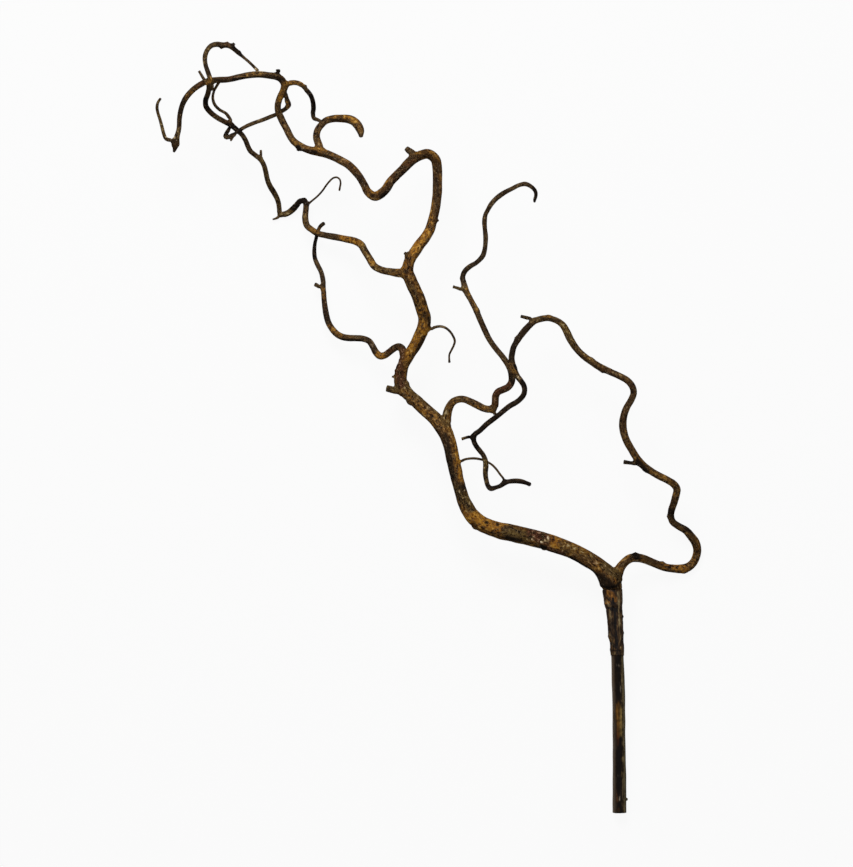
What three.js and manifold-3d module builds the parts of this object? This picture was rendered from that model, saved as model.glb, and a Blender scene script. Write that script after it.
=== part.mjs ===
// Curly willow branch, lying on a table: a grown branch bound to a straight stem with wound tape.
// Millimetres, +Z up. The table is z = 0, x runs across the branch and y along its stem.
import * as THREE from 'three';
import { mergeVertices } from 'three/addons/utils/BufferGeometryUtils.js';
import Module from 'manifold-3d';

const wasm = await Module();
wasm.setup();

// Driving dimensions
const middleOfOutline = [0.4, -0.9]; // x and y of the middle of the outline, moved to the origin
const seatGap = 0.3; // clearance between neighbouring pieces
const barkShare = 0.1; // of a limb's diameter, on each side, outside every listed diameter
const thickestBark = 0.4;
const tapeThickness = 0.65;
const ringSpacing = 1.2; // longest distance between two rings of a limb, in diameters
const shortestSpacing = 6;
const tipDome = 0.18; // how far a tip bulges, in diameters
const cutDome = 0.03; // the same for a sawn end
const limbSides = { thick: 10, thin: 7, twig: 6, tendril: 5 };
const bandSides = 20;
const tableSize = 2000;
const finishes = {
  bark: { color: '#5a4122', roughness: 0.7, metalness: 0 },
  stemBark: { color: '#4a3a20', roughness: 0.6, metalness: 0 },
  tape: { color: '#7a5a2c', roughness: 0.55, metalness: 0 },
};

// Every limb is a list of [x, y, height of its middle, diameter], from its root to its tip.
const mainLimb = [
  [184.1, -162, 29.9, 19.2], [184, -160.3, 29.9, 19.8], [183.2, -156, 30.5, 21.9],
  [179.3, -149, 31.2, 19.7], [170.9, -139.9, 32.3, 15.6], [158, -131.6, 34, 15.3], [142.5, -123.6, 36, 15.4],
  [127.2, -118, 38, 15.8], [115.5, -114.4, 39.5, 16.5], [104.1, -111.3, 41, 16.6],
  [92.2, -108.6, 42.5, 16.2], [82.2, -106.1, 43.7, 16.5], [72.5, -104.1, 45, 16.1],
  [62.5, -101.2, 46.2, 14.9], [52.5, -96.5, 47.5, 14.7], [44.3, -89.2, 48.7, 14.6], [38.9, -81, 49.8, 13.5],
  [35.3, -73, 50.7, 12.3], [32.3, -63.5, 51.6, 11.9], [29.6, -53.5, 52.2, 12.1], [27.4, -43.5, 52.5, 12.7],
  [25.1, -33.5, 52.5, 12.6], [23.1, -23.5, 52, 12.8], [20.4, -13.5, 51.5, 13.5], [15.7, -3, 50, 14.6],
  [6.5, 8.5, 47.5, 13], [-1, 15.2, 45.5, 12.3], [-8.8, 22.3, 43.5, 12.1], [-15.5, 28.2, 42, 11.8],
  [-21.7, 34.2, 41, 12], [-26.5, 41.5, 40.5, 13], [-27.6, 48.5, 40.7, 12.1], [-26.9, 55, 41.8, 12],
  [-25.2, 60.5, 43.3, 11.5], [-21.7, 67, 45.5, 10.8], [-18.2, 73, 48, 10.8], [-12.6, 81.5, 51.5, 11.3],
  [-7.8, 91.5, 55.5, 11.4], [-4.3, 99.5, 59.5, 12.3], [-3.4, 107.5, 63, 12.1], [-5.6, 116.5, 67, 12],
  [-8.5, 126.5, 70.5, 11.8], [-12.8, 136.5, 73, 11.8], [-17.4, 146, 75, 11.8], [-20.5, 154.4, 75.5, 11.7],
  [-19.7, 162, 75, 10.4], [-17.4, 168.4, 74, 10.4], [-12.5, 175.7, 71.5, 10.3], [-7.6, 182.8, 69, 9.8],
  [-2.5, 189.3, 66.5, 9.6], [1.8, 196.6, 63.5, 9.3], [4.6, 206.5, 60, 8.7], [7.1, 216.5, 56.5, 8.6],
  [8.5, 226.5, 53.5, 8.6], [9.4, 236.5, 51, 8.7], [9.5, 246.5, 49.5, 8.6], [9.3, 257.5, 49.3, 8.9],
  [7.5, 267, 51, 9.2], [0.7, 272.3, 55.5, 9.1], [-8, 271, 62, 9], [-16.5, 266, 70, 9],
  [-25.9, 256.4, 79.5, 8.2], [-36.8, 245.6, 89, 8.1], [-43.8, 235.6, 94, 8.5], [-53, 230.2, 97.8, 8.7],
  [-59.9, 234.4, 98.5, 7.5], [-63.6, 241.3, 97, 6.9], [-69.3, 250.7, 94, 7], [-78.6, 260.7, 89, 7.3],
  [-88, 266.5, 83.5, 7.2], [-99, 271.5, 78, 7.3], [-108.5, 274.7, 73.5, 8.2], [-118, 276.3, 69, 7],
  [-127, 280.1, 64.5, 6.6], [-135.2, 286.2, 61, 6.2], [-141.8, 298.2, 58.5, 6.2],
  [-146.7, 307.8, 59.5, 6.2], [-149.8, 315.5, 63, 5.9], [-150.2, 321.5, 66.5, 5.7],
  [-148.1, 329, 71.5, 5.6], [-144.8, 336, 76.5, 5.8], [-143.6, 341.5, 81, 6.2], [-146.3, 346.7, 84.5, 6.2],
  [-151, 349.7, 87.5, 6.2], [-160, 351.2, 91.5, 5.9], [-170, 352.2, 95, 5.8], [-181, 351, 97.5, 5.6],
  [-190, 349.2, 98, 5.4], [-200, 347, 96, 5.3], [-212, 346.5, 91.5, 5.3], [-221, 345.2, 88, 5.4],
  [-228, 341.7, 84.5, 5.3], [-235.5, 336.2, 80, 5], [-242, 328.7, 74.5, 4.9], [-246, 320.5, 69.5, 4.5],
  [-248.4, 309.5, 65, 4.3], [-249.1, 297.5, 62, 4.1], [-251.3, 289, 61.5, 5], [-252.7, 281.8, 61.5, 7.4],
  [-253.1, 278.2, 61.3, 4], [-254.2, 274.3, 61, 1.8],
];

// The thinner limb on the right: out of the fork, round its low corner, up, over and back inward.
const rightLimb = [
  [187.3, -153.5, 30, 13], [191.7, -142.4, 28.5, 9.2], [196.6, -135.9, 26.3, 8.1],
  [202.4, -131.9, 24.3, 8.2], [209, -131.3, 22, 8], [216.8, -132.9, 19.3, 7.4], [224, -135.8, 16.5, 7.1],
  [231.2, -138.7, 13.5, 7.4], [238.2, -141.1, 10.8, 7.4], [246, -142.1, 7.8, 7.4],
  [253.5, -142.3, 5.5, 8.2], [259.8, -140.7, 4.2, 8.2], [265.2, -136, 3.8, 7.5], [268.3, -129.7, 4.3, 7.2],
  [269.2, -123, 5.5, 7.4], [267.5, -116.1, 7.6, 7.9], [263.1, -109.9, 10, 7.4], [258.4, -104.3, 13, 6.8],
  [250.9, -99.9, 17, 6.2], [244.5, -95, 20.5, 6], [242.9, -89.8, 23, 5.8], [243.5, -84, 26, 6.2],
  [245.9, -76.5, 30, 6.4], [247.9, -69, 34, 6.8], [248.9, -62.8, 37, 6.7], [246.2, -58.1, 39.5, 6.6],
  [239.8, -53.8, 43, 6.4], [231, -49.3, 46.5, 6.5], [223, -44.7, 50, 6.4], [215.8, -39.5, 52.5, 6.9],
  [210.2, -33.4, 54.7, 6.8], [203.8, -23.5, 57.2, 6.5], [198.3, -13.5, 59, 6.7], [195.4, -4.5, 60, 7],
  [194.8, 3.5, 60.3, 6.9], [196.1, 11.5, 60.2, 6.3], [199, 19.5, 59.6, 6.1], [203.2, 26.5, 59, 5.9],
  [205.6, 33, 58.3, 5.7], [204.5, 39.5, 57.8, 6], [200.4, 45.1, 57.5, 6], [191.6, 50.4, 57.8, 5.9],
  [182.5, 54.5, 58.5, 5.9], [172.8, 59, 59.8, 6.4], [164.3, 64.2, 61, 6.3], [156.5, 69.9, 62.3, 6.1],
  [150, 75.9, 63.5, 5.9], [142.7, 86.5, 65, 6.4], [138.4, 95.5, 65.8, 6.4], [134.5, 101.7, 66.2, 6],
  [129.3, 105.5, 66.5, 5.4], [121, 108.2, 66.5, 5.3], [113, 107.6, 66.5, 5.6], [106.4, 105.3, 66.5, 5.6],
  [100.4, 100, 66.5, 5.7], [94.4, 93.3, 66.7, 5.8], [89.8, 86.5, 67.2, 5.3], [85.9, 80, 68.2, 5.1],
  [84.4, 74.5, 69.3, 5.4], [83.6, 68.5, 70.7, 5.4], [84.5, 62, 72.3, 5.4], [86.5, 56, 74, 5.4],
  [89.5, 50, 76, 5], [93, 45.5, 77.5, 4.8], [95.8, 41, 78.7, 4.6], [96.7, 36.5, 79.4, 4.4],
  [95.5, 31.5, 79.4, 4.6], [92, 27.2, 79, 4.5], [87.9, 24, 78.3, 4.7], [81.9, 20.6, 77.2, 4.6],
  [76.2, 16.2, 75.7, 4.5], [71, 11.8, 74.3, 4.4], [65.1, 7.3, 72.5, 4.5], [58.1, 1.8, 70, 4.7],
  [51.8, -4.2, 67.3, 4.5], [46, -9, 65, 4.5], [45.8, -14, 63, 4.4], [48, -19.2, 61.5, 4.2],
  [51.5, -23.8, 60.3, 4.2], [55.3, -28.7, 59.7, 4], [57.3, -33.8, 59.5, 4.4], [57.9, -39.5, 59.5, 4.7],
  [57.4, -46.5, 59.2, 4.4], [58.3, -53.5, 58.8, 3.9], [59.9, -59.2, 58.4, 4], [62.7, -62, 58.1, 4.6],
  [68.5, -60.8, 57.7, 3.5], [72.5, -59.3, 57.4, 3.7], [76.3, -56.5, 57.1, 4.5], [80.3, -55.1, 57, 3.8],
  [86.3, -54.5, 57, 4.2], [93, -54.9, 57.4, 4.1], [99, -56.7, 58.2, 3.5], [101.7, -57.9, 58.8, 3.6],
];

// The limb that leaves the main limb to the left, touches the table and climbs over the arch.
const leftLimb = [
  [-21, 154, 75.5, 10], [-28.2, 153.5, 74, 8.4], [-37, 154.6, 69, 6.8], [-47, 156.6, 62.5, 6.4],
  [-53.8, 160.5, 57, 6.5], [-58.3, 167.5, 51, 6.5], [-63.5, 176, 44, 6.4], [-67, 181.8, 39, 6.5],
  [-72.5, 185.1, 34, 6.4], [-83, 187.5, 27, 6], [-93, 189.5, 22, 5.8], [-103, 191.3, 19.5, 5.4],
  [-110.5, 193.2, 18, 5.4], [-116, 196.7, 17, 5.3], [-121, 201, 16, 5.6], [-122.7, 207.5, 14.5, 5.6],
  [-122.4, 214, 13, 5.1], [-121.9, 220, 11.5, 5.1], [-122.8, 225.3, 10.2, 5], [-127.5, 225.5, 8.8, 4.8],
  [-131.7, 221, 6.8, 5.2], [-135.4, 217, 5, 5.6], [-139.7, 213.8, 3.4, 5.3], [-144.5, 212.1, 2.4, 4.9],
  [-148, 213, 2.3, 4.4], [-148.7, 217.5, 3, 4], [-149.2, 222, 5, 4], [-150.7, 227.5, 8.5, 4.4],
  [-153.8, 233.5, 13, 4.7], [-157.5, 239.5, 18, 4.8], [-160.5, 246.5, 23.5, 4.4],
  [-162.2, 254.5, 29.5, 4.3], [-164.2, 261.5, 34.5, 4.1], [-167.5, 267, 38.5, 4.2],
  [-172.7, 271.3, 42, 4.1], [-177.4, 275.3, 45, 4.2], [-180, 280, 47.5, 4.2], [-182.5, 286.2, 50.5, 4.2],
  [-186, 291.8, 53, 4.2], [-190, 295.5, 54.5, 4.4], [-197, 301.5, 57, 4.6], [-203, 304.6, 60, 4.5],
  [-211, 309, 64, 4.5], [-217.5, 314.2, 69, 4.6], [-221.9, 320, 75, 4.6], [-222.3, 326, 81, 4.6],
  [-219.9, 333.5, 88.5, 4.5], [-218.7, 340.5, 94.5, 4.4], [-218, 347.5, 98, 4.2],
  [-220.1, 354.5, 98.5, 4], [-222.4, 361.5, 97, 3.8], [-223.1, 369, 94.5, 3.9], [-221.1, 375.7, 92, 4],
  [-217, 380.5, 90, 4.3], [-211.5, 382.2, 88.5, 4.6], [-205.5, 381.5, 87, 5], [-199, 380.9, 85.5, 4.8],
  [-194.2, 377.7, 84, 4], [-189.5, 373.5, 83, 3.9], [-186, 370.5, 82.5, 2.8], [-178, 363.6, 82, 2.4],
  [-170.5, 356.1, 82, 2.7],
];

// The limb in the middle: a flat rise, a sharp step and a long run up to a hooked tip.
const middleLimb = [
  [17.5, 2.5, 50, 10], [19, 12, 51.5, 8.5], [21.4, 19.5, 53, 7.3], [25, 24.5, 54.5, 6.8],
  [30.5, 27.1, 56, 6.3], [36.3, 27.1, 57.5, 6.1], [42.5, 24.7, 59, 6.3], [49.5, 21.3, 60.5, 6.5],
  [56, 18.1, 62, 6.4], [62.3, 17.3, 63.5, 6.6], [66.5, 20.2, 66, 6.4], [67.3, 25.5, 69.5, 6.3],
  [67.7, 30.5, 72.5, 6.3], [70, 34.5, 75.5, 6.3], [74.7, 36.8, 78, 6.3], [80, 39.5, 81, 6.3],
  [83.4, 44.2, 83.5, 6], [83.8, 50.5, 86, 5.9], [82.2, 57.5, 88, 5.6], [79, 63.5, 89.5, 5.3],
  [74, 70.5, 90.5, 5], [69, 76.5, 91, 4.9], [61.7, 86.5, 91.5, 4.9], [56.8, 96.5, 91.3, 5],
  [52.3, 106.5, 90, 5], [48, 116.5, 88, 5.2], [42.9, 126.5, 84.5, 4.7], [39, 133.5, 82, 5.2],
  [36.9, 139, 79.5, 5.6], [35.6, 144, 77.5, 4.9], [34.6, 149, 75.5, 4.4], [36.2, 154.1, 73.5, 4.4],
  [38.9, 157.5, 72, 4.4], [42.9, 160.7, 70.5, 4.2], [47.6, 163.3, 69, 3.9], [51.7, 166.9, 68, 4.1],
  [54.9, 171.2, 67.3, 4.5], [56.6, 176.5, 67, 4.1], [57.5, 183.5, 67, 3.8], [57.6, 190, 67.5, 4],
  [56.9, 197, 68.5, 3.8], [56.5, 204.5, 69.8, 4.2], [57.4, 211.5, 71.5, 3.8], [59.8, 216.4, 73, 3.8],
  [62.6, 221.4, 75, 4], [66.6, 226.4, 77.2, 4.2], [71.6, 230.7, 79.3, 4.4], [77, 234.3, 81.5, 4],
  [84, 237.8, 83.8, 3.7], [91, 241.3, 85.7, 3.5], [97.3, 242.5, 87, 4], [103, 240, 87.7, 3.5],
  [107.2, 235.5, 87.5, 3.2], [107.9, 231.2, 87, 2.9], [106.7, 226.6, 86.3, 2.6], [106.5, 224.7, 86, 1.9],
];

// The limb inside the left loop, which passes under the left limb and ends in a blunt tip.
const innerLimb = [
  [-24, 64.5, 44, 8.5], [-24.5, 72.5, 42.3, 7.5], [-25.7, 77, 41, 7.2], [-29, 79.7, 39, 6.8],
  [-33, 78.7, 37, 6.2], [-38.2, 74.9, 34.3, 5.9], [-43.5, 71.2, 31.8, 6.1], [-48, 70.6, 30, 6.5],
  [-52, 74.2, 28.3, 6], [-55.5, 80.5, 26.3, 5.5], [-59, 85.3, 25, 5.3], [-65, 87.7, 23.2, 5.4],
  [-72, 88.3, 21.5, 5.5], [-79, 88.5, 20, 5.8], [-86, 89.8, 18.5, 5.8], [-91.7, 93, 17.2, 5.8],
  [-96.5, 98.5, 16, 5.4], [-100, 105, 15, 5.3], [-102.3, 114.5, 13.8, 5], [-103.8, 125.5, 12.6, 4.5],
  [-104.5, 136.5, 11.7, 4.4], [-105, 146.5, 11, 4.1], [-106.9, 154.5, 10.5, 4], [-110.4, 161.5, 10.2, 4],
  [-113.1, 168.5, 10, 3.7], [-113.7, 176.5, 9.8, 3.4], [-113, 183.5, 9.8, 3],
  [-111.8, 188.5, 9.8, 3], [-110.7, 193.5, 10, 3], [-109, 198, 10.5, 3.1], [-107.3, 200.6, 11, 3.2],
  [-104.3, 203, 11.5, 3.2],
];

const hookLimb = [
  [-107.5, 275, 74, 8.5], [-109.7, 283, 72.5, 6.8], [-111.5, 289.5, 71, 6.5], [-110.2, 296.5, 69.5, 6],
  [-106.9, 301.3, 68.5, 5.8], [-102, 305.7, 68, 6], [-95, 307.7, 68.5, 6.5], [-87, 308, 70.5, 7],
  [-79.5, 307.4, 73, 7.6], [-74.1, 305.2, 75.5, 7.9], [-69.9, 300.5, 78, 7.9], [-67.4, 295, 79.5, 6.7],
  [-67, 290.5, 80.5, 3.8],
];

const loopTwig = [
  [-142.5, 341.5, 80, 5.5], [-137.5, 343.5, 78.5, 4.6], [-131.5, 343.7, 75.5, 4.3],
  [-126.5, 341.5, 72.5, 4.2], [-122.5, 337.5, 69, 4.1], [-117.3, 331, 64, 3.9], [-115, 324.5, 59.5, 4],
  [-114.5, 318.5, 55.5, 4.1], [-115.1, 313.2, 52, 3.9], [-114, 308.3, 49.5, 3.5], [-110, 306.5, 48, 3],
  [-106, 304.5, 47, 2.6],
];

const crossTwig = [
  [-143.5, 338.5, 78.5, 5], [-142.5, 331.5, 72.5, 4.1], [-140.9, 326, 67, 4.3], [-139.6, 321.6, 62.5, 4.8],
  [-142.3, 317.9, 58, 3.8], [-146.5, 315.2, 54, 3.6], [-151, 312.5, 52, 3.4], [-157.5, 309.8, 51, 3.4],
  [-165.5, 306.5, 52.5, 3.4], [-173, 304, 55.5, 3.3], [-178.5, 301.7, 58, 3.3], [-184, 299, 60.5, 3.2],
  [-189.5, 295.5, 62.5, 3.4], [-195, 291.5, 63.5, 3.7], [-199.3, 289.4, 64, 4.2], [-202.2, 289.9, 63.5, 4.3],
  [-201.5, 293.2, 60.5, 3.6], [-199.3, 296.9, 56, 3.3], [-198.3, 298.9, 51, 2.8],
];

// Thin twigs and curled tendrils, each sunk well into the limb that carries it.
const tendrils = [
  [
    [-196.2, 301.5, 57, 3.6], [-198.5, 308, 60.5, 3.1], [-202, 313, 64, 2.6], [-208.5, 316.8, 68, 2.6],
    [-213.3, 322, 72.5, 2.6], [-215.2, 328.5, 77, 2.4], [-214, 335.5, 81.5, 2.3], [-211.3, 340.5, 84, 2.4],
    [-208.7, 344.7, 85.5, 2.6],
  ],
  [
    [-253, 285.5, 62, 4.1], [-258, 286.4, 63, 3.4], [-262, 287.8, 64.5, 3.2], [-264.2, 292.5, 66, 2.9],
    [-266, 299.5, 68, 2.8], [-268, 307, 70, 2.6], [-270.1, 313.5, 72, 2.6], [-271, 319, 74, 2.6],
    [-270, 324, 76, 2.4], [-267.7, 327.7, 77.5, 2.2],
  ],
  [
    [-120.5, 222, 11.5, 2.8], [-117.5, 224.5, 13, 1.8], [-110, 230.8, 17.5, 1.6], [-105.5, 235.8, 20, 1.6],
    [-101.7, 241.2, 22, 1.6], [-98, 245.7, 23.5, 1.6], [-94.7, 248.5, 24.5, 1.6], [-91.3, 249.2, 25, 1.6],
    [-88.3, 247.2, 25, 1.5], [-87.4, 243.5, 24.5, 1.5], [-88, 239.5, 23.5, 1.6],
    [-88.6, 236.2, 22.5, 1.6],
  ],
  [
    [-1.5, 97, 59, 4], [2.5, 97.5, 59.3, 3.2], [7, 99.3, 59.8, 2.5], [12, 100.1, 60, 2.2],
    [17, 98.9, 59.6, 2.1], [21.5, 95.5, 58.5, 2], [25, 90.5, 57, 2], [26.8, 85.5, 55, 2],
    [25.7, 81, 53.5, 1.9], [23.5, 76.5, 52, 1.8], [21.4, 72, 50.7, 1.7], [21.2, 67.5, 49.5, 1.7],
    [21.4, 64.5, 48.7, 2.1],
  ],
  [
    [29, -36, 53, 3.6], [33, -34.7, 53.6, 2.6], [37, -32.9, 54, 2], [44, -31.9, 53.7, 2],
    [50, -32.3, 53, 2], [55.5, -33.7, 52.3, 1.9], [60, -35.7, 52.2, 1.8], [64.5, -38.7, 52.8, 1.8],
    [68.5, -42.9, 54, 1.8], [72, -47.7, 55.4, 1.8], [75.5, -52.3, 56.6, 1.9], [76.4, -55.6, 57, 2.6],
  ],
];

// Cut stubs, short side shoots, buds and knots, also sunk into their limbs.
const stubs = [
  [[-219.3, 339.6, 94.8, 3.2], [-221, 342.6, 98, 2.8], [-225, 348.7, 98.4, 2.5], [-229, 355.5, 98, 2.1]],
  [[-215.8, 345, 90, 3.2], [-215.8, 336.3, 89.5, 2.6]],
  [[-192, 293.5, 63, 2.6], [-197.5, 285.8, 65, 1.8]],
  [[-150, 352.4, 88.5, 4.4], [-150, 356.6, 89.5, 4]],
  [[-13.6, 271.8, 67.5, 7], [-19.5, 276.2, 69.5, 5.2], [-21.6, 278.1, 70.3, 4.4]],
  [[-20, 171, 74, 5.3], [-23.4, 173.7, 75, 2.6]],
  [[6, 205.5, 60, 3.6], [10.6, 206.3, 60.5, 1.8]],
  [[-128.5, 279.5, 64, 5], [-130.1, 276, 64, 3.8]],
  [[-26, 35.5, 40.5, 8.5], [-34, 36.5, 41, 6.6], [-41.1, 38.1, 41.5, 5.8]],
  [[-24, 43, 40.5, 5], [-19.3, 43.5, 40.5, 3]],
  [[-16, 26.5, 42, 6], [-19.6, 22.9, 42, 4]],
  [[-29, 49.5, 41, 3.4], [-36, 49.8, 41.5, 1.6]],
  [[-27, 60, 42.5, 3.6], [-31.3, 60.8, 43, 2]],
  [[-28, 55.3, 42, 3.6], [-33, 55.6, 42, 2]],
  [[-167.2, 268.5, 38.5, 2.8], [-167.1, 276.3, 40, 1.8]],
  [[-147, 211.5, 2.6, 3.4], [-151.5, 208.3, 3, 2], [-155.3, 207.1, 3.5, 1.4]],
  [[-123.2, 225.5, 10.2, 4.4], [-123.6, 228.2, 10.4, 2.6]],
  [[-196.5, 380, 85, 3.6], [-193.7, 383, 85.5, 2.8]],
  [[-201, 382.5, 86.5, 3.4], [-200.6, 384.7, 87, 2]],
  [[-206.5, 380.5, 87, 3.4], [-206.5, 377.7, 87, 1.8]],
  [[-189.5, 373.5, 83, 3], [-187.7, 375.3, 83.5, 1.8]],
  [[-124, 339, 70.5, 3.6], [-121.5, 340.9, 71, 2.4]],
  [[-105.5, 138.5, 11.5, 4], [-113.2, 142.2, 12.5, 3.2]],
  [[35.5, 136.7, 80, 3.8], [27, 139.2, 81, 2.4], [25.2, 139.8, 81, 2.9]],
  [[34, 148, 75.5, 3.6], [32.3, 147.8, 75.5, 2]],
  [[48.5, 115.5, 88, 4.4], [50.9, 116.9, 88, 2.6]],
  [[65, 16.5, 64.5, 5], [67, 12.5, 65, 3]],
  [[208, -129.5, 22, 4.4], [207.3, -126, 22.5, 3]],
  [[235, -138.5, 12, 4], [234.7, -135, 12.5, 2.4]],
  [[256, -143.5, 4.8, 5], [256.5, -146.5, 4.6, 3.6]],
  [[242.5, -90.5, 23, 4], [239, -89.5, 23.3, 2]],
  [[217, -41.5, 51.5, 4.6], [218, -45.5, 50.5, 3]],
  [[209, -36.5, 54, 6], [204, -36.5, 54.3, 3.2], [195.9, -35.5, 54.8, 3.6]],
  [[163, 65.5, 61, 4.4], [164.5, 68.3, 61.3, 2.6]],
  [[174, 57, 59.5, 4], [174.3, 53.8, 59.3, 2.4]],
  [[106, 106.5, 67, 3.6], [100.5, 108.2, 67.8, 3.2], [92.9, 110.2, 69, 2.6]],
  [[121, 109.5, 66.5, 4], [121, 111.3, 66.7, 2.2]],
  [[90, 87, 67.2, 4], [87, 88.9, 67.5, 3]],
  [[86, 59, 73.5, 4], [88.6, 59.8, 73.7, 2.2]],
  [[45.5, -10, 64.5, 3.6], [39.5, -10.7, 64.8, 2.4], [33.8, -12.5, 64.8, 2.6]],
  [[49, -98.5, 47.5, 6], [45.7, -101.8, 47.3, 3.4]],
  [[116, -119.5, 39, 5], [115.7, -123.3, 38.8, 2.6]],
];

// The tail of the branch, inside the binding, and the straight stem that it lies against.
const tail = [
  [182.5, -152, 30.6, 13.4], [181.5, -163, 30, 11], [182, -174, 30.2, 8.6],
  [182.7, -184, 30.6, 7], [183.2, -194, 29.9, 5.8], [183.5, -204, 28.9, 5],
  [183.9, -214.6, 27.7, 4.2],
];
const stem = [
  [186.5, -163.2, 29.5, 11.8], [187.1, -177, 28.1, 11.8], [187.9, -194, 26.4, 11.8],
  [188.7, -214, 24.3, 11.7], [189.6, -234, 22.3, 11.7], [190.2, -254, 20.2, 12.1],
  [190.8, -279, 17.6, 12.1], [191, -309, 14.5, 11.9], [191.3, -339, 11.4, 12.5],
  [191.4, -364, 8.9, 13], [191.5, -386, 6.5, 13],
];

// The binding: [y, layers of tape] from the fork down, over the tail and then over the bare stem.
const binding = [
  [-163, 2], [-168, 2], [-174, 2], [-180, 2], [-182.5, 1], [-188, 1], [-195, 1],
  [-203, 1], [-210, 1], [-214.5, 1], [-220.5, 1], [-229.5, 1],
];

const widthOver = ([, , , diameter]) => diameter + 2 * Math.min(thickestBark, barkShare * diameter);

// The sections along a limb's smooth route: middle, direction and diameter of each.
function sectionsAlong(points) {
  const middles = points.map(([x, y, z]) => new THREE.Vector3(x, y, z));
  const route = new THREE.CatmullRomCurve3(middles, false, 'centripetal');
  const spans = points.length - 1;
  const sections = [];
  const addSection = (span, share, diameter) => {
    const place = (span + share) / spans;
    sections.push({ middle: route.getPoint(place), direction: route.getTangent(place), diameter });
  };
  for (let span = 0; span < spans; span += 1) {
    const [from, to] = [widthOver(points[span]), widthOver(points[span + 1])];
    const spacing = Math.max(shortestSpacing, ringSpacing * from);
    const count = Math.max(1, Math.round(middles[span].distanceTo(middles[span + 1]) / spacing));
    for (let k = 0; k < count; k += 1) {
      addSection(span, k / count, THREE.MathUtils.lerp(from, to, k / count));
    }
  }
  addSection(spans, 0, widthOver(points[spans]));
  return sections;
}

function geometryFrom(places, faces) {
  const numbers = places.flatMap((place) => place.toArray());
  const geometry = new THREE.BufferGeometry();
  geometry.setAttribute('position', new THREE.Float32BufferAttribute(numbers, 3));
  geometry.setIndex(faces);
  return geometry;
}

// A closed skin over rings of equal point counts, with a point at each end.
function skinOver(rings, firstPoint, lastPoint) {
  const sides = rings[0].length;
  const places = [firstPoint, ...rings.flat(), lastPoint];
  const last = places.length - 1;
  const faces = [];
  for (let side = 0; side < sides; side += 1) {
    const next = (side + 1) % sides;
    faces.push(0, 1 + next, 1 + side);
    for (let ring = 0; ring < rings.length - 1; ring += 1) {
      const [near, far] = [1 + ring * sides, 1 + (ring + 1) * sides];
      faces.push(near + side, near + next, far + next, near + side, far + next, far + side);
    }
    faces.push(last - sides + side, last - sides + next, last);
  }
  return geometryFrom(places, faces);
}

// A round limb: rings square to the route that turn as little as they can, and slightly domed ends.
// A ring's corners lie a little outside its circle, so that the limb is as wide as its diameter.
function limbGeometry(points, sides, dome = tipDome, extra = 0) {
  const sections = sectionsAlong(points);
  const fullness = Math.PI / (sides * Math.sin(Math.PI / sides));
  const across = new THREE.Vector3(0, 0, 1);
  const rings = sections.map(({ middle, direction, diameter }) => {
    across.addScaledVector(direction, -across.dot(direction)).normalize();
    const second = new THREE.Vector3().crossVectors(direction, across);
    const radius = fullness * diameter / 2 + extra;
    return Array.from({ length: sides }, (_, side) => {
      const turn = (2 * Math.PI * side) / sides;
      return middle.clone()
        .addScaledVector(across, Math.cos(turn) * radius)
        .addScaledVector(second, Math.sin(turn) * radius);
    });
  });
  const domeOf = ({ middle, direction, diameter }, sign) => middle.clone()
    .addScaledVector(direction, sign * (dome * diameter + extra));
  return skinOver(rings, domeOf(sections[0], -1), domeOf(sections[sections.length - 1], 1));
}

// A closed geometry as a solid that can be joined and cut.
function solidFrom(geometry) {
  const bare = geometry.clone();
  bare.deleteAttribute('normal');
  bare.deleteAttribute('uv');
  const merged = mergeVertices(bare);
  return new wasm.Manifold(new wasm.Mesh({
    numProp: 3,
    vertProperties: Float32Array.from(merged.attributes.position.array),
    triVerts: Uint32Array.from(merged.index.array),
  }));
}

function geometryOf(solid) {
  const mesh = solid.getMesh();
  const geometry = new THREE.BufferGeometry();
  geometry.setAttribute('position', new THREE.BufferAttribute(mesh.vertProperties, 3));
  geometry.setIndex(Array.from(mesh.triVerts));
  return geometry;
}

// Everything below the table top is cut off, which leaves a small flat where a piece touches it.
function restOnTable(solid) {
  const block = new THREE.BoxGeometry(tableSize, tableSize, tableSize).translate(0, 0, -tableSize / 2);
  return solid.subtract(solidFrom(block));
}

function branchSolid() {
  const grown = [
    ...[mainLimb, tail].map((points) => limbGeometry(points, limbSides.thick, cutDome)),
    ...[rightLimb, leftLimb, middleLimb, innerLimb, hookLimb]
      .map((points) => limbGeometry(points, limbSides.thin)),
    ...[loopTwig, crossTwig, ...stubs].map((points) => limbGeometry(points, limbSides.twig)),
    ...tendrils.map((points) => limbGeometry(points, limbSides.tendril)),
  ];
  const whole = grown.map(solidFrom).reduce((joined, piece) => joined.add(piece));
  return whole.subtract(solidFrom(limbGeometry(stem, limbSides.thick, cutDome, seatGap)));
}

// Where a straight piece is at a given y: x, y, height and diameter between its nearest points.
function pieceAt(points, y) {
  const after = Math.max(1, points.findIndex((point) => point[1] < y));
  const [a, b] = [points[after - 1], points[after]];
  const share = THREE.MathUtils.clamp((a[1] - y) / (a[1] - b[1]), 0, 1);
  return a.map((value, index) => THREE.MathUtils.lerp(value, b[index], share));
}

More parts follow.
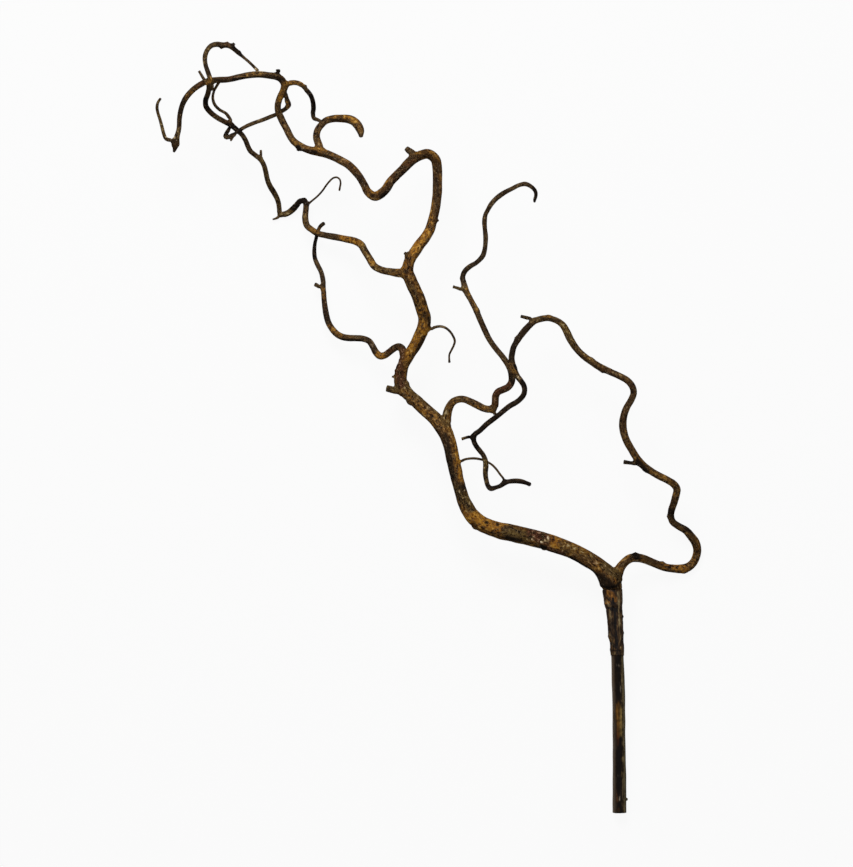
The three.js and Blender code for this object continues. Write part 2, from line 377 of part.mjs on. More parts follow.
// One ring of the binding: flats that touch the stem's circle and, where it is still there, the tail's.
function bandRing(y, extra) {
  const pieces = y < tail[tail.length - 1][1] ? [stem] : [stem, tail];
  const circles = pieces.map((points) => pieceAt(points, y));
  const reach = (turn) => {
    const [across, up] = [Math.cos(turn), Math.sin(turn)];
    const far = (circle) => circle[0] * across + circle[2] * up + widthOver(circle) / 2;
    return extra + Math.max(...circles.map(far));
  };
  const step = (2 * Math.PI) / bandSides;
  return Array.from({ length: bandSides }, (_, side) => {
    const [near, far] = [side * step, (side + 1) * step];
    const x = (reach(near) * Math.sin(far) - reach(far) * Math.sin(near)) / Math.sin(step);
    const z = (reach(far) * Math.cos(near) - reach(near) * Math.cos(far)) / Math.sin(step);
    return new THREE.Vector3(x, y, z);
  });
}

// The binding is a sleeve: an outer skin going down, an inner one coming back up, closed at both ends.
function bindingGeometry() {
  const outside = binding.map(([y, layers]) => bandRing(y, seatGap + layers * tapeThickness));
  const inside = binding.map(([y]) => bandRing(y, seatGap)).reverse();
  const rings = [...outside, ...inside];
  const faces = [];
  rings.forEach((_, ring) => {
    const [near, far] = [ring * bandSides, ((ring + 1) % rings.length) * bandSides];
    for (let side = 0; side < bandSides; side += 1) {
      const next = (side + 1) % bandSides;
      faces.push(near + side, near + next, far + next, near + side, far + next, far + side);
    }
  });
  return geometryFrom(rings.flat(), faces);
}

function addPiece(group, name, geometry, finish) {
  const placed = geometry.translate(-middleOfOutline[0], -middleOfOutline[1], 0).toNonIndexed();
  placed.computeVertexNormals();
  const mesh = new THREE.Mesh(placed, new THREE.MeshStandardMaterial(finish));
  mesh.name = name;
  group.add(mesh);
}

const branch = new THREE.Group();
const stemSolid = solidFrom(limbGeometry(stem, limbSides.thick, cutDome));
addPiece(branch, 'curly_branch', geometryOf(restOnTable(branchSolid())), finishes.bark);
addPiece(branch, 'straight_stem', geometryOf(restOnTable(stemSolid)), finishes.stemBark);
addPiece(branch, 'stem_wrap', bindingGeometry(), finishes.tape);

export default branch;
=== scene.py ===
import math

import bpy
import numpy as np
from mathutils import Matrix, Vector, noise


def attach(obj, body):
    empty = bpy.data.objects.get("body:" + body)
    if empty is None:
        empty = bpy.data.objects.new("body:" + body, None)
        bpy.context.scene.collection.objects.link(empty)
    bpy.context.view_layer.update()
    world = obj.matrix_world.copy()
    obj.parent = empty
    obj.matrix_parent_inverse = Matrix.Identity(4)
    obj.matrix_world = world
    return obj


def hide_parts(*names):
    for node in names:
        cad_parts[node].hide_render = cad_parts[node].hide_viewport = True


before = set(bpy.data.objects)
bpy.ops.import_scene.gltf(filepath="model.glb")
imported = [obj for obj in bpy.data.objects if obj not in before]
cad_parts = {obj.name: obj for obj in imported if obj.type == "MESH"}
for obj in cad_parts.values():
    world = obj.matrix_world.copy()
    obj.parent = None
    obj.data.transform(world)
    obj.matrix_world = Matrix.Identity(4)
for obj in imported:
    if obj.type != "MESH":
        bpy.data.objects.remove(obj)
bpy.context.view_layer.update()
print("frame loaded")

# Everything is drawn in millimetres and moved by the middle, so that its outline is centred.
drawing = {
    "middle": (0.4, -0.9),
    "unit": 0.001,
    "viewCorner": (-428, 427),  # upper left corner of the view, which tone marks are measured from
    "markEdge": (0.5, 1.4),  # of a mark's reach: where it starts to fade, and where it is gone
    "barkShare": 0.1,  # of a limb's diameter, on each side, outside every listed diameter
    "thickestBark": 0.4,
    "domeAngles": (75, 50, 25),  # the rings of a rounded end, in degrees from its rim
    "patternShift": 170.0,  # between one limb's bark pattern and the next one's
}


def linear(hexColour):
    channels = [int(hexColour[i : i + 2], 16) / 255 for i in (1, 3, 5)]
    return [c / 12.92 if c <= 0.04045 else ((c + 0.055) / 1.055) ** 2.4 for c in channels] + [1.0]


def addNode(tree, kind, settings, output=0):
    # adds one node and gives back an output of it: the settings are values, properties, colour stops
    # or the outputs of other nodes, which are linked in
    node = tree.nodes.new(kind)
    for name, value in settings.items():
        if name == "stops":
            stops = node.color_ramp.elements
            while len(stops) < len(value):
                stops.new(1.0)
            for stop, (place, colour) in zip(stops, value):
                stop.position = place
                stop.color = linear(colour)
        elif isinstance(value, bpy.types.NodeSocket):
            tree.links.new(value, node.inputs[name])
        elif isinstance(name, int) or name in node.inputs:
            node.inputs[name].default_value = value
        else:
            setattr(node, name, value)
    return node.outputs[output]


def newMaterial(name, values):
    # a material and its shader, with the values that are the same all over
    material = bpy.data.materials.new(name)
    material.use_nodes = True
    shader = material.node_tree.nodes["Principled BSDF"]
    for socket, value in values.items():
        shader.inputs[socket].default_value = value
    return material, material.node_tree, shader


def perMillimetre(size):
    # the texture scale that makes a pattern repeat about every so many millimetres
    return 1 / (size * drawing["unit"])


def surfacePattern(tree, grain, size, along, detail, distortion, roughness=0.5):
    # a noise of so many mm, which is drawn out along the limb where along is under 1
    places = addNode(tree, "ShaderNodeMapping", {"Scale": (1, 1, along), "Vector": grain})
    settings = {"Vector": places, "Scale": perMillimetre(size), "Detail": detail}
    settings.update({"Roughness": roughness, "Distortion": distortion})
    return addNode(tree, "ShaderNodeTexNoise", settings)


def plusShares(tree, total, others):
    # a pattern plus a share of each of the others
    for share, other in others:
        total = addNode(tree, "ShaderNodeMath", {"operation": "MULTIPLY_ADD", 0: other, 1: share, 2: total})
    return total


def layTone(tree, base, tint, name, pattern, cover):
    # one tone over another within its marks, with a ragged edge that follows a pattern
    marks = addNode(tree, "ShaderNodeAttribute", {"attribute_name": name}, "Fac")
    lifted = addNode(tree, "ShaderNodeMath", {"operation": "MULTIPLY", 0: marks, 1: cover["marks"]})
    ragged = plusShares(tree, lifted, [(cover["pattern"], pattern)])
    low, high = cover["range"]
    settings = {"interpolation_type": "SMOOTHSTEP", "Value": ragged, "From Min": low, "From Max": high}
    share = addNode(tree, "ShaderNodeMapRange", settings)
    return addNode(tree, "ShaderNodeMix", {"data_type": "RGBA", 0: share, 6: base, 7: tint}, 2)


def addRelief(tree, shader, height, look):
    # fine relief that is too low for the mesh
    settings = {"Height": height, "Strength": look["reliefStrength"]}
    settings["Distance"] = look["reliefHeight"] * drawing["unit"]
    tree.links.new(addNode(tree, "ShaderNodeBump", settings), shader.inputs["Normal"])


def ease(value):
    # 0 to 1 with soft ends
    value = np.clip(value, 0, 1)
    return value * value * (3 - 2 * value)


def unitVectors(vectors):
    return vectors / np.linalg.norm(vectors, axis=-1, keepdims=True)


def overBark(diameter):
    return diameter + 2 * np.minimum(drawing["thickestBark"], drawing["barkShare"] * diameter)


def smoothRoute(points, spacing):
    # a centripetal curve through rows of [x, y, height, diameter]
    rows = np.array(points, float)
    rows[:, 3] = overBark(rows[:, 3])
    rows = np.vstack([2 * rows[0] - rows[1], rows, 2 * rows[-1] - rows[-2]])
    knots = np.linalg.norm(np.diff(rows[:, :3], axis=0), axis=1) ** 0.5
    route = []
    for i in range(1, len(rows) - 2):
        before, here, there, after = rows[i - 1 : i + 3]
        gapIn, gap, gapOut = knots[i - 1 : i + 2]
        leaving = (here - before) / gapIn - (there - before) / (gapIn + gap) + (there - here) / gap
        arriving = (there - here) / gap - (after - here) / (gap + gapOut) + (after - there) / gapOut
        count = max(1, round(float(np.linalg.norm((there - here)[:3])) / spacing))
        t = np.arange(count)[:, None] / count
        route.append(
            (2 * t**3 - 3 * t**2 + 1) * here
            + (t**3 - 2 * t**2 + t) * leaving * gap
            + (3 * t**2 - 2 * t**3) * there
            + (t**3 - t**2) * arriving * gap
        )
    return np.vstack(route + [rows[-2:-1]])


def routeFrame(centres):
    # the direction of a route and two vectors across it that turn as little as they can
    directions = unitVectors(np.gradient(centres, axis=0))
    across = np.empty_like(directions)
    current = np.array([0.0, 0.0, 1.0])
    for i, direction in enumerate(directions):
        current = current - direction * np.dot(current, direction)
        current = current / np.linalg.norm(current)
        across[i] = current
    return directions, across, np.cross(directions, across)


def bridgeRings(ringCount, sides):
    # quads between rings of equal point counts, numbered ring by ring
    faces = []
    for near in range(0, (ringCount - 1) * sides, sides):
        far = near + sides
        for side in range(sides):
            following = (side + 1) % sides
            faces.append((near + side, near + following, far + following, far + side))
    return faces


def limbSurface(points, sides, spacing, dome):
    # a closed round limb with domed ends, and its rings for working out where a point lies on it
    route = smoothRoute(points, spacing)
    centres, radii = route[:, :3], route[:, 3] / 2
    directions, across, second = routeFrame(centres)
    along = np.concatenate([[0], np.cumsum(np.linalg.norm(np.diff(centres, axis=0), axis=1))])
    rings = {"centre": centres, "radius": radii, "across": across, "second": second, "along": along}
    steps = [(math.cos(angle), math.sin(angle)) for angle in np.radians(drawing["domeAngles"])]
    rows = [(0, width, -lift) for width, lift in steps]
    rows += [(i, 1.0, 0.0) for i in range(len(centres))]
    rows += [(len(centres) - 1, width, lift) for width, lift in steps[::-1]]
    turns = np.arange(sides) * 2 * math.pi / sides
    fullness = math.pi / (sides * math.sin(math.pi / sides))  # makes up for the flats between the points
    places = []
    for index, width, lift in rows:
        middle = centres[index] + directions[index] * lift * dome * 2 * radii[index]
        circle = np.outer(np.cos(turns), across[index]) + np.outer(np.sin(turns), second[index])
        places.append(middle + circle * radii[index] * width * fullness)
    for index, way in ((0, -1), (-1, 1)):
        places.append(centres[index] + directions[index] * way * dome * 2 * radii[index])
    faces = bridgeRings(len(rows), sides)
    first, last = len(rows) * sides, len(rows) * sides + 1
    base = (len(rows) - 1) * sides
    for side in range(sides):
        faces.append((first, (side + 1) % sides, side))
        faces.append((last, base + side, base + (side + 1) % sides))
    return np.vstack(places), faces, rings


def toMetres(places):
    moved = np.array(places, float)
    moved[:, :2] -= drawing["middle"]
    return moved * drawing["unit"]


def meshObject(name, places, faces):
    mesh = bpy.data.meshes.new(name)
    mesh.from_pydata(toMetres(places).tolist(), [], [tuple(map(int, face)) for face in faces])
    mesh.update()
    piece = bpy.data.objects.new(name, mesh)
    bpy.context.scene.collection.objects.link(piece)
    return piece


def combine(piece, others, operation):
    # joins or cuts closed solids, one after another, and removes the helpers
    for other in others:
        step = piece.modifiers.new("combine", "BOOLEAN")
        step.operation = operation
        step.solver = "MANIFOLD"
        step.object = other
    mesh = bpy.data.meshes.new_from_object(piece.evaluated_get(bpy.context.evaluated_depsgraph_get()))
    spent = [piece.data] + [other.data for other in others]
    piece.modifiers.clear()
    piece.data = mesh
    for other in others:
        bpy.data.objects.remove(other)
    for old in spent:
        bpy.data.meshes.remove(old)


def meshPlaces(piece):
    places = np.empty(len(piece.data.vertices) * 3)
    piece.data.vertices.foreach_get("co", places)
    places = places.reshape(-1, 3) / drawing["unit"]
    places[:, :2] += drawing["middle"]
    return places


def setPlaces(piece, places):
    piece.data.vertices.foreach_set("co", toMetres(places).ravel())
    piece.data.update()


def meshNormals(piece):
    normals = np.empty(len(piece.data.vertices) * 3)
    piece.data.vertex_normals.foreach_get("vector", normals)
    return normals.reshape(-1, 3)


def relax(piece, places, weights, rounds):
    # evens out the surface where the weights say so
    edges = np.empty(len(piece.data.edges) * 2, int)
    piece.data.edges.foreach_get("vertices", edges)
    edges = edges.reshape(-1, 2)
    starts = np.concatenate([edges[:, 0], edges[:, 1]])
    ends = np.concatenate([edges[:, 1], edges[:, 0]])
    count = np.bincount(starts, minlength=len(places))[:, None]
    for _ in range(rounds):
        sums = np.stack([np.bincount(starts, places[ends, k], len(places)) for k in range(3)], axis=1)
        places = places + weights[:, None] * (sums / count - places)
    return places


def nearLimbs(places, limbs):
    # for each point: the limb it lies on, its nearest ring there, the next limb and how far off that is
    centres = np.vstack([limb["centre"] for limb in limbs])
    radii = np.concatenate([limb["radius"] for limb in limbs])
    starts = np.cumsum([0] + [len(limb["radius"]) for limb in limbs][:-1])
    mine = np.searchsorted(starts, np.arange(len(centres)), "right") - 1
    owner, ring, other = (np.empty(len(places), int) for _ in range(3))
    clearance = np.empty(len(places))
    batch = 1500  # points at a time, which keeps the tables small
    for low in range(0, len(places), batch):
        part = slice(low, low + batch)
        apart = np.linalg.norm(places[part, None] - centres[None], axis=2) - radii[None]
        perLimb = np.minimum.reduceat(apart, starts, axis=1)
        order = np.argsort(perLimb, axis=1)[:, :2]
        owner[part] = order[:, 0]
        other[part] = order[:, -1]
        clearance[part] = np.take_along_axis(perLimb, order[:, -1:], axis=1)[:, 0]
        ring[part] = np.argmin(np.where(mine[None] == order[:, :1], apart, np.inf), axis=1)
    return owner, ring, other, clearance


def grainPlaces(places, limbs, ring, owner):
    # where each point would be if its limb were straightened out: across, across and along, in mm
    centres, across, second = (
        np.vstack([limb[key] for limb in limbs])[ring] for key in ("centre", "across", "second")
    )
    along = np.concatenate([limb["along"] for limb in limbs])[ring]
    offset = places - centres
    parts = [np.einsum("ij,ij->i", offset, axis) for axis in (across, second, np.cross(across, second))]
    parts[2] += along + owner * drawing["patternShift"]
    return np.stack(parts, axis=1)


def noiseAt(places, sizes):
    # soft noise from -1 to 1 whose bumps are about the given sizes in mm
    scaled = np.asarray(places) / np.asarray(sizes)
    return np.array([noise.noise(Vector(place)) for place in scaled])


def storeValues(piece, name, values):
    kind = "FLOAT" if values.ndim == 1 else "FLOAT_VECTOR"
    field = "value" if values.ndim == 1 else "vector"
    attribute = piece.data.attributes.new(name, kind, "POINT")
    attribute.data.foreach_set(field, np.ascontiguousarray(values, np.float32).ravel())


def storeMarks(piece, places, tones, ending, lengthwise=1):
    # stores for each tone, from 0 to 1, how much a point lies within its marks, which are rows of
    # [right, down, right, down, reach, strength]; they fade more slowly down the view, by a factor
    left, top = drawing["viewCorner"]
    fades, gone = drawing["markEdge"]
    for tone, marks in tones.items():
        total = np.zeros(len(places))
        for right1, down1, right2, down2, reach, strength in marks:
            start, run = np.array([left + right1, top - down1]), np.array([right2 - right1, down1 - down2])
            share = np.clip((places[:, :2] - start) @ run / float(run @ run), 0, 1)
            offset = places[:, :2] - start - share[:, None] * run
            gap = np.hypot(offset[:, 0], offset[:, 1] / lengthwise)
            total = np.maximum(total, strength * ease((reach * gone - gap) / (reach * (gone - fades))))
        storeValues(piece, tone + ending, total)


def finishPiece(piece, material, node):
    piece.data.materials.clear()
    piece.data.materials.append(material)
    piece.data.shade_smooth()
    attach(piece, "root")
    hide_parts(node)


# The route of every limb: [x, y, height of its middle, diameter] in mm, thick end first.
curlyBranch = {
    "mainLimb": [
        [184.1, -162, 29.9, 19.2], [184, -160.3, 29.9, 19.8], [183.2, -156, 30.5, 21.9],
        [179.3, -149, 31.2, 19.7], [170.9, -139.9, 32.3, 15.6], [158, -131.6, 34, 15.3],
        [142.5, -123.6, 36, 15.4], [127.2, -118, 38, 15.8], [115.5, -114.4, 39.5, 16.5],
        [104.1, -111.3, 41, 16.6], [92.2, -108.6, 42.5, 16.2], [82.2, -106.1, 43.7, 16.5],
        [72.5, -104.1, 45, 16.1], [62.5, -101.2, 46.2, 14.9], [52.5, -96.5, 47.5, 14.7],
        [44.3, -89.2, 48.7, 14.6], [38.9, -81, 49.8, 13.5], [35.3, -73, 50.7, 12.3],
        [32.3, -63.5, 51.6, 11.9], [29.6, -53.5, 52.2, 12.1], [27.4, -43.5, 52.5, 12.7],
        [25.1, -33.5, 52.5, 12.6], [23.1, -23.5, 52, 12.8], [20.4, -13.5, 51.5, 13.5], [15.7, -3, 50, 14.6],
        [6.5, 8.5, 47.5, 13], [-1, 15.2, 45.5, 12.3], [-8.8, 22.3, 43.5, 12.1], [-15.5, 28.2, 42, 11.8],
        [-21.7, 34.2, 41, 12], [-26.5, 41.5, 40.5, 13], [-27.6, 48.5, 40.7, 12.1], [-26.9, 55, 41.8, 12],
        [-25.2, 60.5, 43.3, 11.5], [-21.7, 67, 45.5, 10.8], [-18.2, 73, 48, 10.8],
        [-12.6, 81.5, 51.5, 11.3], [-7.8, 91.5, 55.5, 11.4], [-4.3, 99.5, 59.5, 12.3],
        [-3.4, 107.5, 63, 12.1], [-5.6, 116.5, 67, 12], [-8.5, 126.5, 70.5, 11.8], [-12.8, 136.5, 73, 11.8],
        [-17.4, 146, 75, 11.8], [-20.5, 154.4, 75.5, 11.7], [-19.7, 162, 75, 10.4],
        [-17.4, 168.4, 74, 10.4], [-12.5, 175.7, 71.5, 10.3], [-7.6, 182.8, 69, 9.8],
        [-2.5, 189.3, 66.5, 9.6], [1.8, 196.6, 63.5, 9.3], [4.6, 206.5, 60, 8.7], [7.1, 216.5, 56.5, 8.6],
        [8.5, 226.5, 53.5, 8.6], [9.4, 236.5, 51, 8.7], [9.5, 246.5, 49.5, 8.6], [9.3, 257.5, 49.3, 8.9],
        [7.5, 267, 51, 9.2], [0.7, 272.3, 55.5, 9.1], [-8, 271, 62, 9], [-16.5, 266, 70, 9],
        [-25.9, 256.4, 79.5, 8.2], [-36.8, 245.6, 89, 8.1], [-43.8, 235.6, 94, 8.5],
        [-53, 230.2, 97.8, 8.7], [-59.9, 234.4, 98.5, 7.5], [-63.6, 241.3, 97, 6.9], [-69.3, 250.7, 94, 7],
        [-78.6, 260.7, 89, 7.3], [-88, 266.5, 83.5, 7.2], [-99, 271.5, 78, 7.3], [-108.5, 274.7, 73.5, 8.2],
        [-118, 276.3, 69, 7], [-127, 280.1, 64.5, 6.6], [-135.2, 286.2, 61, 6.2],
        [-141.8, 298.2, 58.5, 6.2], [-146.7, 307.8, 59.5, 6.2], [-149.8, 315.5, 63, 5.9],
        [-150.2, 321.5, 66.5, 5.7], [-148.1, 329, 71.5, 5.6], [-144.8, 336, 76.5, 5.8],
        [-143.6, 341.5, 81, 6.2], [-146.3, 346.7, 84.5, 6.2], [-151, 349.7, 87.5, 6.2],
        [-160, 351.2, 91.5, 5.9], [-170, 352.2, 95, 5.8], [-181, 351, 97.5, 5.6], [-190, 349.2, 98, 5.4],
        [-200, 347, 96, 5.3], [-212, 346.5, 91.5, 5.3], [-221, 345.2, 88, 5.4], [-228, 341.7, 84.5, 5.3],
        [-235.5, 336.2, 80, 5], [-242, 328.7, 74.5, 4.9], [-246, 320.5, 69.5, 4.5],
        [-248.4, 309.5, 65, 4.3], [-249.1, 297.5, 62, 4.1], [-251.3, 289, 61.5, 5],
        [-252.7, 281.8, 61.5, 7.4], [-253.1, 278.2, 61.3, 4], [-254.2, 274.3, 61, 1.8],
    ],
    "tail": [
        [182.5, -152, 30.6, 13.4], [181.5, -163, 30, 11], [182, -174, 30.2, 8.6], [182.7, -184, 30.6, 7],
        [183.2, -194, 29.9, 5.8], [183.5, -204, 28.9, 5], [183.9, -214.6, 27.7, 4.2],
    ],
    "rightLimb": [
        [187.3, -153.5, 30, 13], [191.7, -142.4, 28.5, 9.2], [196.6, -135.9, 26.3, 8.1],
        [202.4, -131.9, 24.3, 8.2], [209, -131.3, 22, 8], [216.8, -132.9, 19.3, 7.4],
        [224, -135.8, 16.5, 7.1], [231.2, -138.7, 13.5, 7.4], [238.2, -141.1, 10.8, 7.4],
        [246, -142.1, 7.8, 7.4], [253.5, -142.3, 5.5, 8.2], [259.8, -140.7, 4.2, 8.2],
        [265.2, -136, 3.8, 7.5], [268.3, -129.7, 4.3, 7.2], [269.2, -123, 5.5, 7.4],
        [267.5, -116.1, 7.6, 7.9], [263.1, -109.9, 10, 7.4], [258.4, -104.3, 13, 6.8],
        [250.9, -99.9, 17, 6.2], [244.5, -95, 20.5, 6], [242.9, -89.8, 23, 5.8], [243.5, -84, 26, 6.2],
        [245.9, -76.5, 30, 6.4], [247.9, -69, 34, 6.8], [248.9, -62.8, 37, 6.7], [246.2, -58.1, 39.5, 6.6],
        [239.8, -53.8, 43, 6.4], [231, -49.3, 46.5, 6.5], [223, -44.7, 50, 6.4], [215.8, -39.5, 52.5, 6.9],
        [210.2, -33.4, 54.7, 6.8], [203.8, -23.5, 57.2, 6.5], [198.3, -13.5, 59, 6.7], [195.4, -4.5, 60, 7],
        [194.8, 3.5, 60.3, 6.9], [196.1, 11.5, 60.2, 6.3], [199, 19.5, 59.6, 6.1], [203.2, 26.5, 59, 5.9],
        [205.6, 33, 58.3, 5.7], [204.5, 39.5, 57.8, 6], [200.4, 45.1, 57.5, 6], [191.6, 50.4, 57.8, 5.9],
        [182.5, 54.5, 58.5, 5.9], [172.8, 59, 59.8, 6.4], [164.3, 64.2, 61, 6.3], [156.5, 69.9, 62.3, 6.1],
        [150, 75.9, 63.5, 5.9], [142.7, 86.5, 65, 6.4], [138.4, 95.5, 65.8, 6.4], [134.5, 101.7, 66.2, 6],
        [129.3, 105.5, 66.5, 5.4], [121, 108.2, 66.5, 5.3], [113, 107.6, 66.5, 5.6],
        [106.4, 105.3, 66.5, 5.6], [100.4, 100, 66.5, 5.7], [94.4, 93.3, 66.7, 5.8],
        [89.8, 86.5, 67.2, 5.3], [85.9, 80, 68.2, 5.1], [84.4, 74.5, 69.3, 5.4], [83.6, 68.5, 70.7, 5.4],
        [84.5, 62, 72.3, 5.4], [86.5, 56, 74, 5.4], [89.5, 50, 76, 5], [93, 45.5, 77.5, 4.8],
        [95.8, 41, 78.7, 4.6], [96.7, 36.5, 79.4, 4.4], [95.5, 31.5, 79.4, 4.6], [92, 27.2, 79, 4.5],
        [87.9, 24, 78.3, 4.7], [81.9, 20.6, 77.2, 4.6], [76.2, 16.2, 75.7, 4.5], [71, 11.8, 74.3, 4.4],
        [65.1, 7.3, 72.5, 4.5], [58.1, 1.8, 70, 4.7], [51.8, -4.2, 67.3, 4.5], [46, -9, 65, 4.5],
        [45.8, -14, 63, 4.4], [48, -19.2, 61.5, 4.2], [51.5, -23.8, 60.3, 4.2], [55.3, -28.7, 59.7, 4],
        [57.3, -33.8, 59.5, 4.4], [57.9, -39.5, 59.5, 4.7], [57.4, -46.5, 59.2, 4.4],
        [58.3, -53.5, 58.8, 3.9], [59.9, -59.2, 58.4, 4], [62.7, -62, 58.1, 4.6], [68.5, -60.8, 57.7, 3.5],
        [72.5, -59.3, 57.4, 3.7], [76.3, -56.5, 57.1, 4.5], [80.3, -55.1, 57, 3.8], [86.3, -54.5, 57, 4.2],
        [93, -54.9, 57.4, 4.1], [99, -56.7, 58.2, 3.5], [101.7, -57.9, 58.8, 3.6],
    ],
    "leftLimb": [
        [-21, 154, 75.5, 10], [-28.2, 153.5, 74, 8.4], [-37, 154.6, 69, 6.8], [-47, 156.6, 62.5, 6.4],
        [-53.8, 160.5, 57, 6.5], [-58.3, 167.5, 51, 6.5], [-63.5, 176, 44, 6.4], [-67, 181.8, 39, 6.5],
        [-72.5, 185.1, 34, 6.4], [-83, 187.5, 27, 6], [-93, 189.5, 22, 5.8], [-103, 191.3, 19.5, 5.4],
        [-110.5, 193.2, 18, 5.4], [-116, 196.7, 17, 5.3], [-121, 201, 16, 5.6], [-122.7, 207.5, 14.5, 5.6],
        [-122.4, 214, 13, 5.1], [-121.9, 220, 11.5, 5.1], [-122.8, 225.3, 10.2, 5],
        [-127.5, 225.5, 8.8, 4.8], [-131.7, 221, 6.8, 5.2], [-135.4, 217, 5, 5.6],
        [-139.7, 213.8, 3.4, 5.3], [-144.5, 212.1, 2.4, 4.9], [-148, 213, 2.3, 4.4], [-148.7, 217.5, 3, 4],
        [-149.2, 222, 5, 4], [-150.7, 227.5, 8.5, 4.4], [-153.8, 233.5, 13, 4.7], [-157.5, 239.5, 18, 4.8],
        [-160.5, 246.5, 23.5, 4.4], [-162.2, 254.5, 29.5, 4.3], [-164.2, 261.5, 34.5, 4.1],
        [-167.5, 267, 38.5, 4.2], [-172.7, 271.3, 42, 4.1], [-177.4, 275.3, 45, 4.2],
        [-180, 280, 47.5, 4.2], [-182.5, 286.2, 50.5, 4.2], [-186, 291.8, 53, 4.2],
        [-190, 295.5, 54.5, 4.4], [-197, 301.5, 57, 4.6], [-203, 304.6, 60, 4.5], [-211, 309, 64, 4.5],
        [-217.5, 314.2, 69, 4.6], [-221.9, 320, 75, 4.6], [-222.3, 326, 81, 4.6],
        [-219.9, 333.5, 88.5, 4.5], [-218.7, 340.5, 94.5, 4.4], [-218, 347.5, 98, 4.2],
        [-220.1, 354.5, 98.5, 4], [-222.4, 361.5, 97, 3.8], [-223.1, 369, 94.5, 3.9],
        [-221.1, 375.7, 92, 4], [-217, 380.5, 90, 4.3], [-211.5, 382.2, 88.5, 4.6], [-205.5, 381.5, 87, 5],
        [-199, 380.9, 85.5, 4.8], [-194.2, 377.7, 84, 4], [-189.5, 373.5, 83, 3.9],
        [-186, 370.5, 82.5, 2.8], [-178, 363.6, 82, 2.4], [-170.5, 356.1, 82, 2.7],
    ],
    "middleLimb": [
        [17.5, 2.5, 50, 10], [19, 12, 51.5, 8.5], [21.4, 19.5, 53, 7.3], [25, 24.5, 54.5, 6.8],
        [30.5, 27.1, 56, 6.3], [36.3, 27.1, 57.5, 6.1], [42.5, 24.7, 59, 6.3], [49.5, 21.3, 60.5, 6.5],
        [56, 18.1, 62, 6.4], [62.3, 17.3, 63.5, 6.6], [66.5, 20.2, 66, 6.4], [67.3, 25.5, 69.5, 6.3],
        [67.7, 30.5, 72.5, 6.3], [70, 34.5, 75.5, 6.3], [74.7, 36.8, 78, 6.3], [80, 39.5, 81, 6.3],
        [83.4, 44.2, 83.5, 6], [83.8, 50.5, 86, 5.9], [82.2, 57.5, 88, 5.6], [79, 63.5, 89.5, 5.3],
        [74, 70.5, 90.5, 5], [69, 76.5, 91, 4.9], [61.7, 86.5, 91.5, 4.9], [56.8, 96.5, 91.3, 5],
        [52.3, 106.5, 90, 5], [48, 116.5, 88, 5.2], [42.9, 126.5, 84.5, 4.7], [39, 133.5, 82, 5.2],
        [36.9, 139, 79.5, 5.6], [35.6, 144, 77.5, 4.9], [34.6, 149, 75.5, 4.4], [36.2, 154.1, 73.5, 4.4],
        [38.9, 157.5, 72, 4.4], [42.9, 160.7, 70.5, 4.2], [47.6, 163.3, 69, 3.9], [51.7, 166.9, 68, 4.1],
        [54.9, 171.2, 67.3, 4.5], [56.6, 176.5, 67, 4.1], [57.5, 183.5, 67, 3.8], [57.6, 190, 67.5, 4],
        [56.9, 197, 68.5, 3.8], [56.5, 204.5, 69.8, 4.2], [57.4, 211.5, 71.5, 3.8], [59.8, 216.4, 73, 3.8],
        [62.6, 221.4, 75, 4], [66.6, 226.4, 77.2, 4.2], [71.6, 230.7, 79.3, 4.4], [77, 234.3, 81.5, 4],
        [84, 237.8, 83.8, 3.7], [91, 241.3, 85.7, 3.5], [97.3, 242.5, 87, 4], [103, 240, 87.7, 3.5],
        [107.2, 235.5, 87.5, 3.2], [107.9, 231.2, 87, 2.9], [106.7, 226.6, 86.3, 2.6],
        [106.5, 224.7, 86, 1.9],
    ],
    "innerLimb": [
        [-24, 64.5, 44, 8.5], [-24.5, 72.5, 42.3, 7.5], [-25.7, 77, 41, 7.2], [-29, 79.7, 39, 6.8],
        [-33, 78.7, 37, 6.2], [-38.2, 74.9, 34.3, 5.9], [-43.5, 71.2, 31.8, 6.1], [-48, 70.6, 30, 6.5],
        [-52, 74.2, 28.3, 6], [-55.5, 80.5, 26.3, 5.5], [-59, 85.3, 25, 5.3], [-65, 87.7, 23.2, 5.4],
        [-72, 88.3, 21.5, 5.5], [-79, 88.5, 20, 5.8], [-86, 89.8, 18.5, 5.8], [-91.7, 93, 17.2, 5.8],
        [-96.5, 98.5, 16, 5.4], [-100, 105, 15, 5.3], [-102.3, 114.5, 13.8, 5], [-103.8, 125.5, 12.6, 4.5],
        [-104.5, 136.5, 11.7, 4.4], [-105, 146.5, 11, 4.1], [-106.9, 154.5, 10.5, 4],
        [-110.4, 161.5, 10.2, 4], [-113.1, 168.5, 10, 3.7], [-113.7, 176.5, 9.8, 3.4],
        [-113, 183.5, 9.8, 3], [-111.8, 188.5, 9.8, 3], [-110.7, 193.5, 10, 3], [-109, 198, 10.5, 3.1],
        [-107.3, 200.6, 11, 3.2], [-104.3, 203, 11.5, 3.2],
    ],
    "hookLimb": [
        [-107.5, 275, 74, 8.5], [-109.7, 283, 72.5, 6.8], [-111.5, 289.5, 71, 6.5],
        [-110.2, 296.5, 69.5, 6], [-106.9, 301.3, 68.5, 5.8], [-102, 305.7, 68, 6], [-95, 307.7, 68.5, 6.5],
        [-87, 308, 70.5, 7], [-79.5, 307.4, 73, 7.6], [-74.1, 305.2, 75.5, 7.9], [-69.9, 300.5, 78, 7.9],
        [-67.4, 295, 79.5, 6.7], [-67, 290.5, 80.5, 3.8],
    ],
    "loopTwig": [
        [-142.5, 341.5, 80, 5.5], [-137.5, 343.5, 78.5, 4.6], [-131.5, 343.7, 75.5, 4.3],
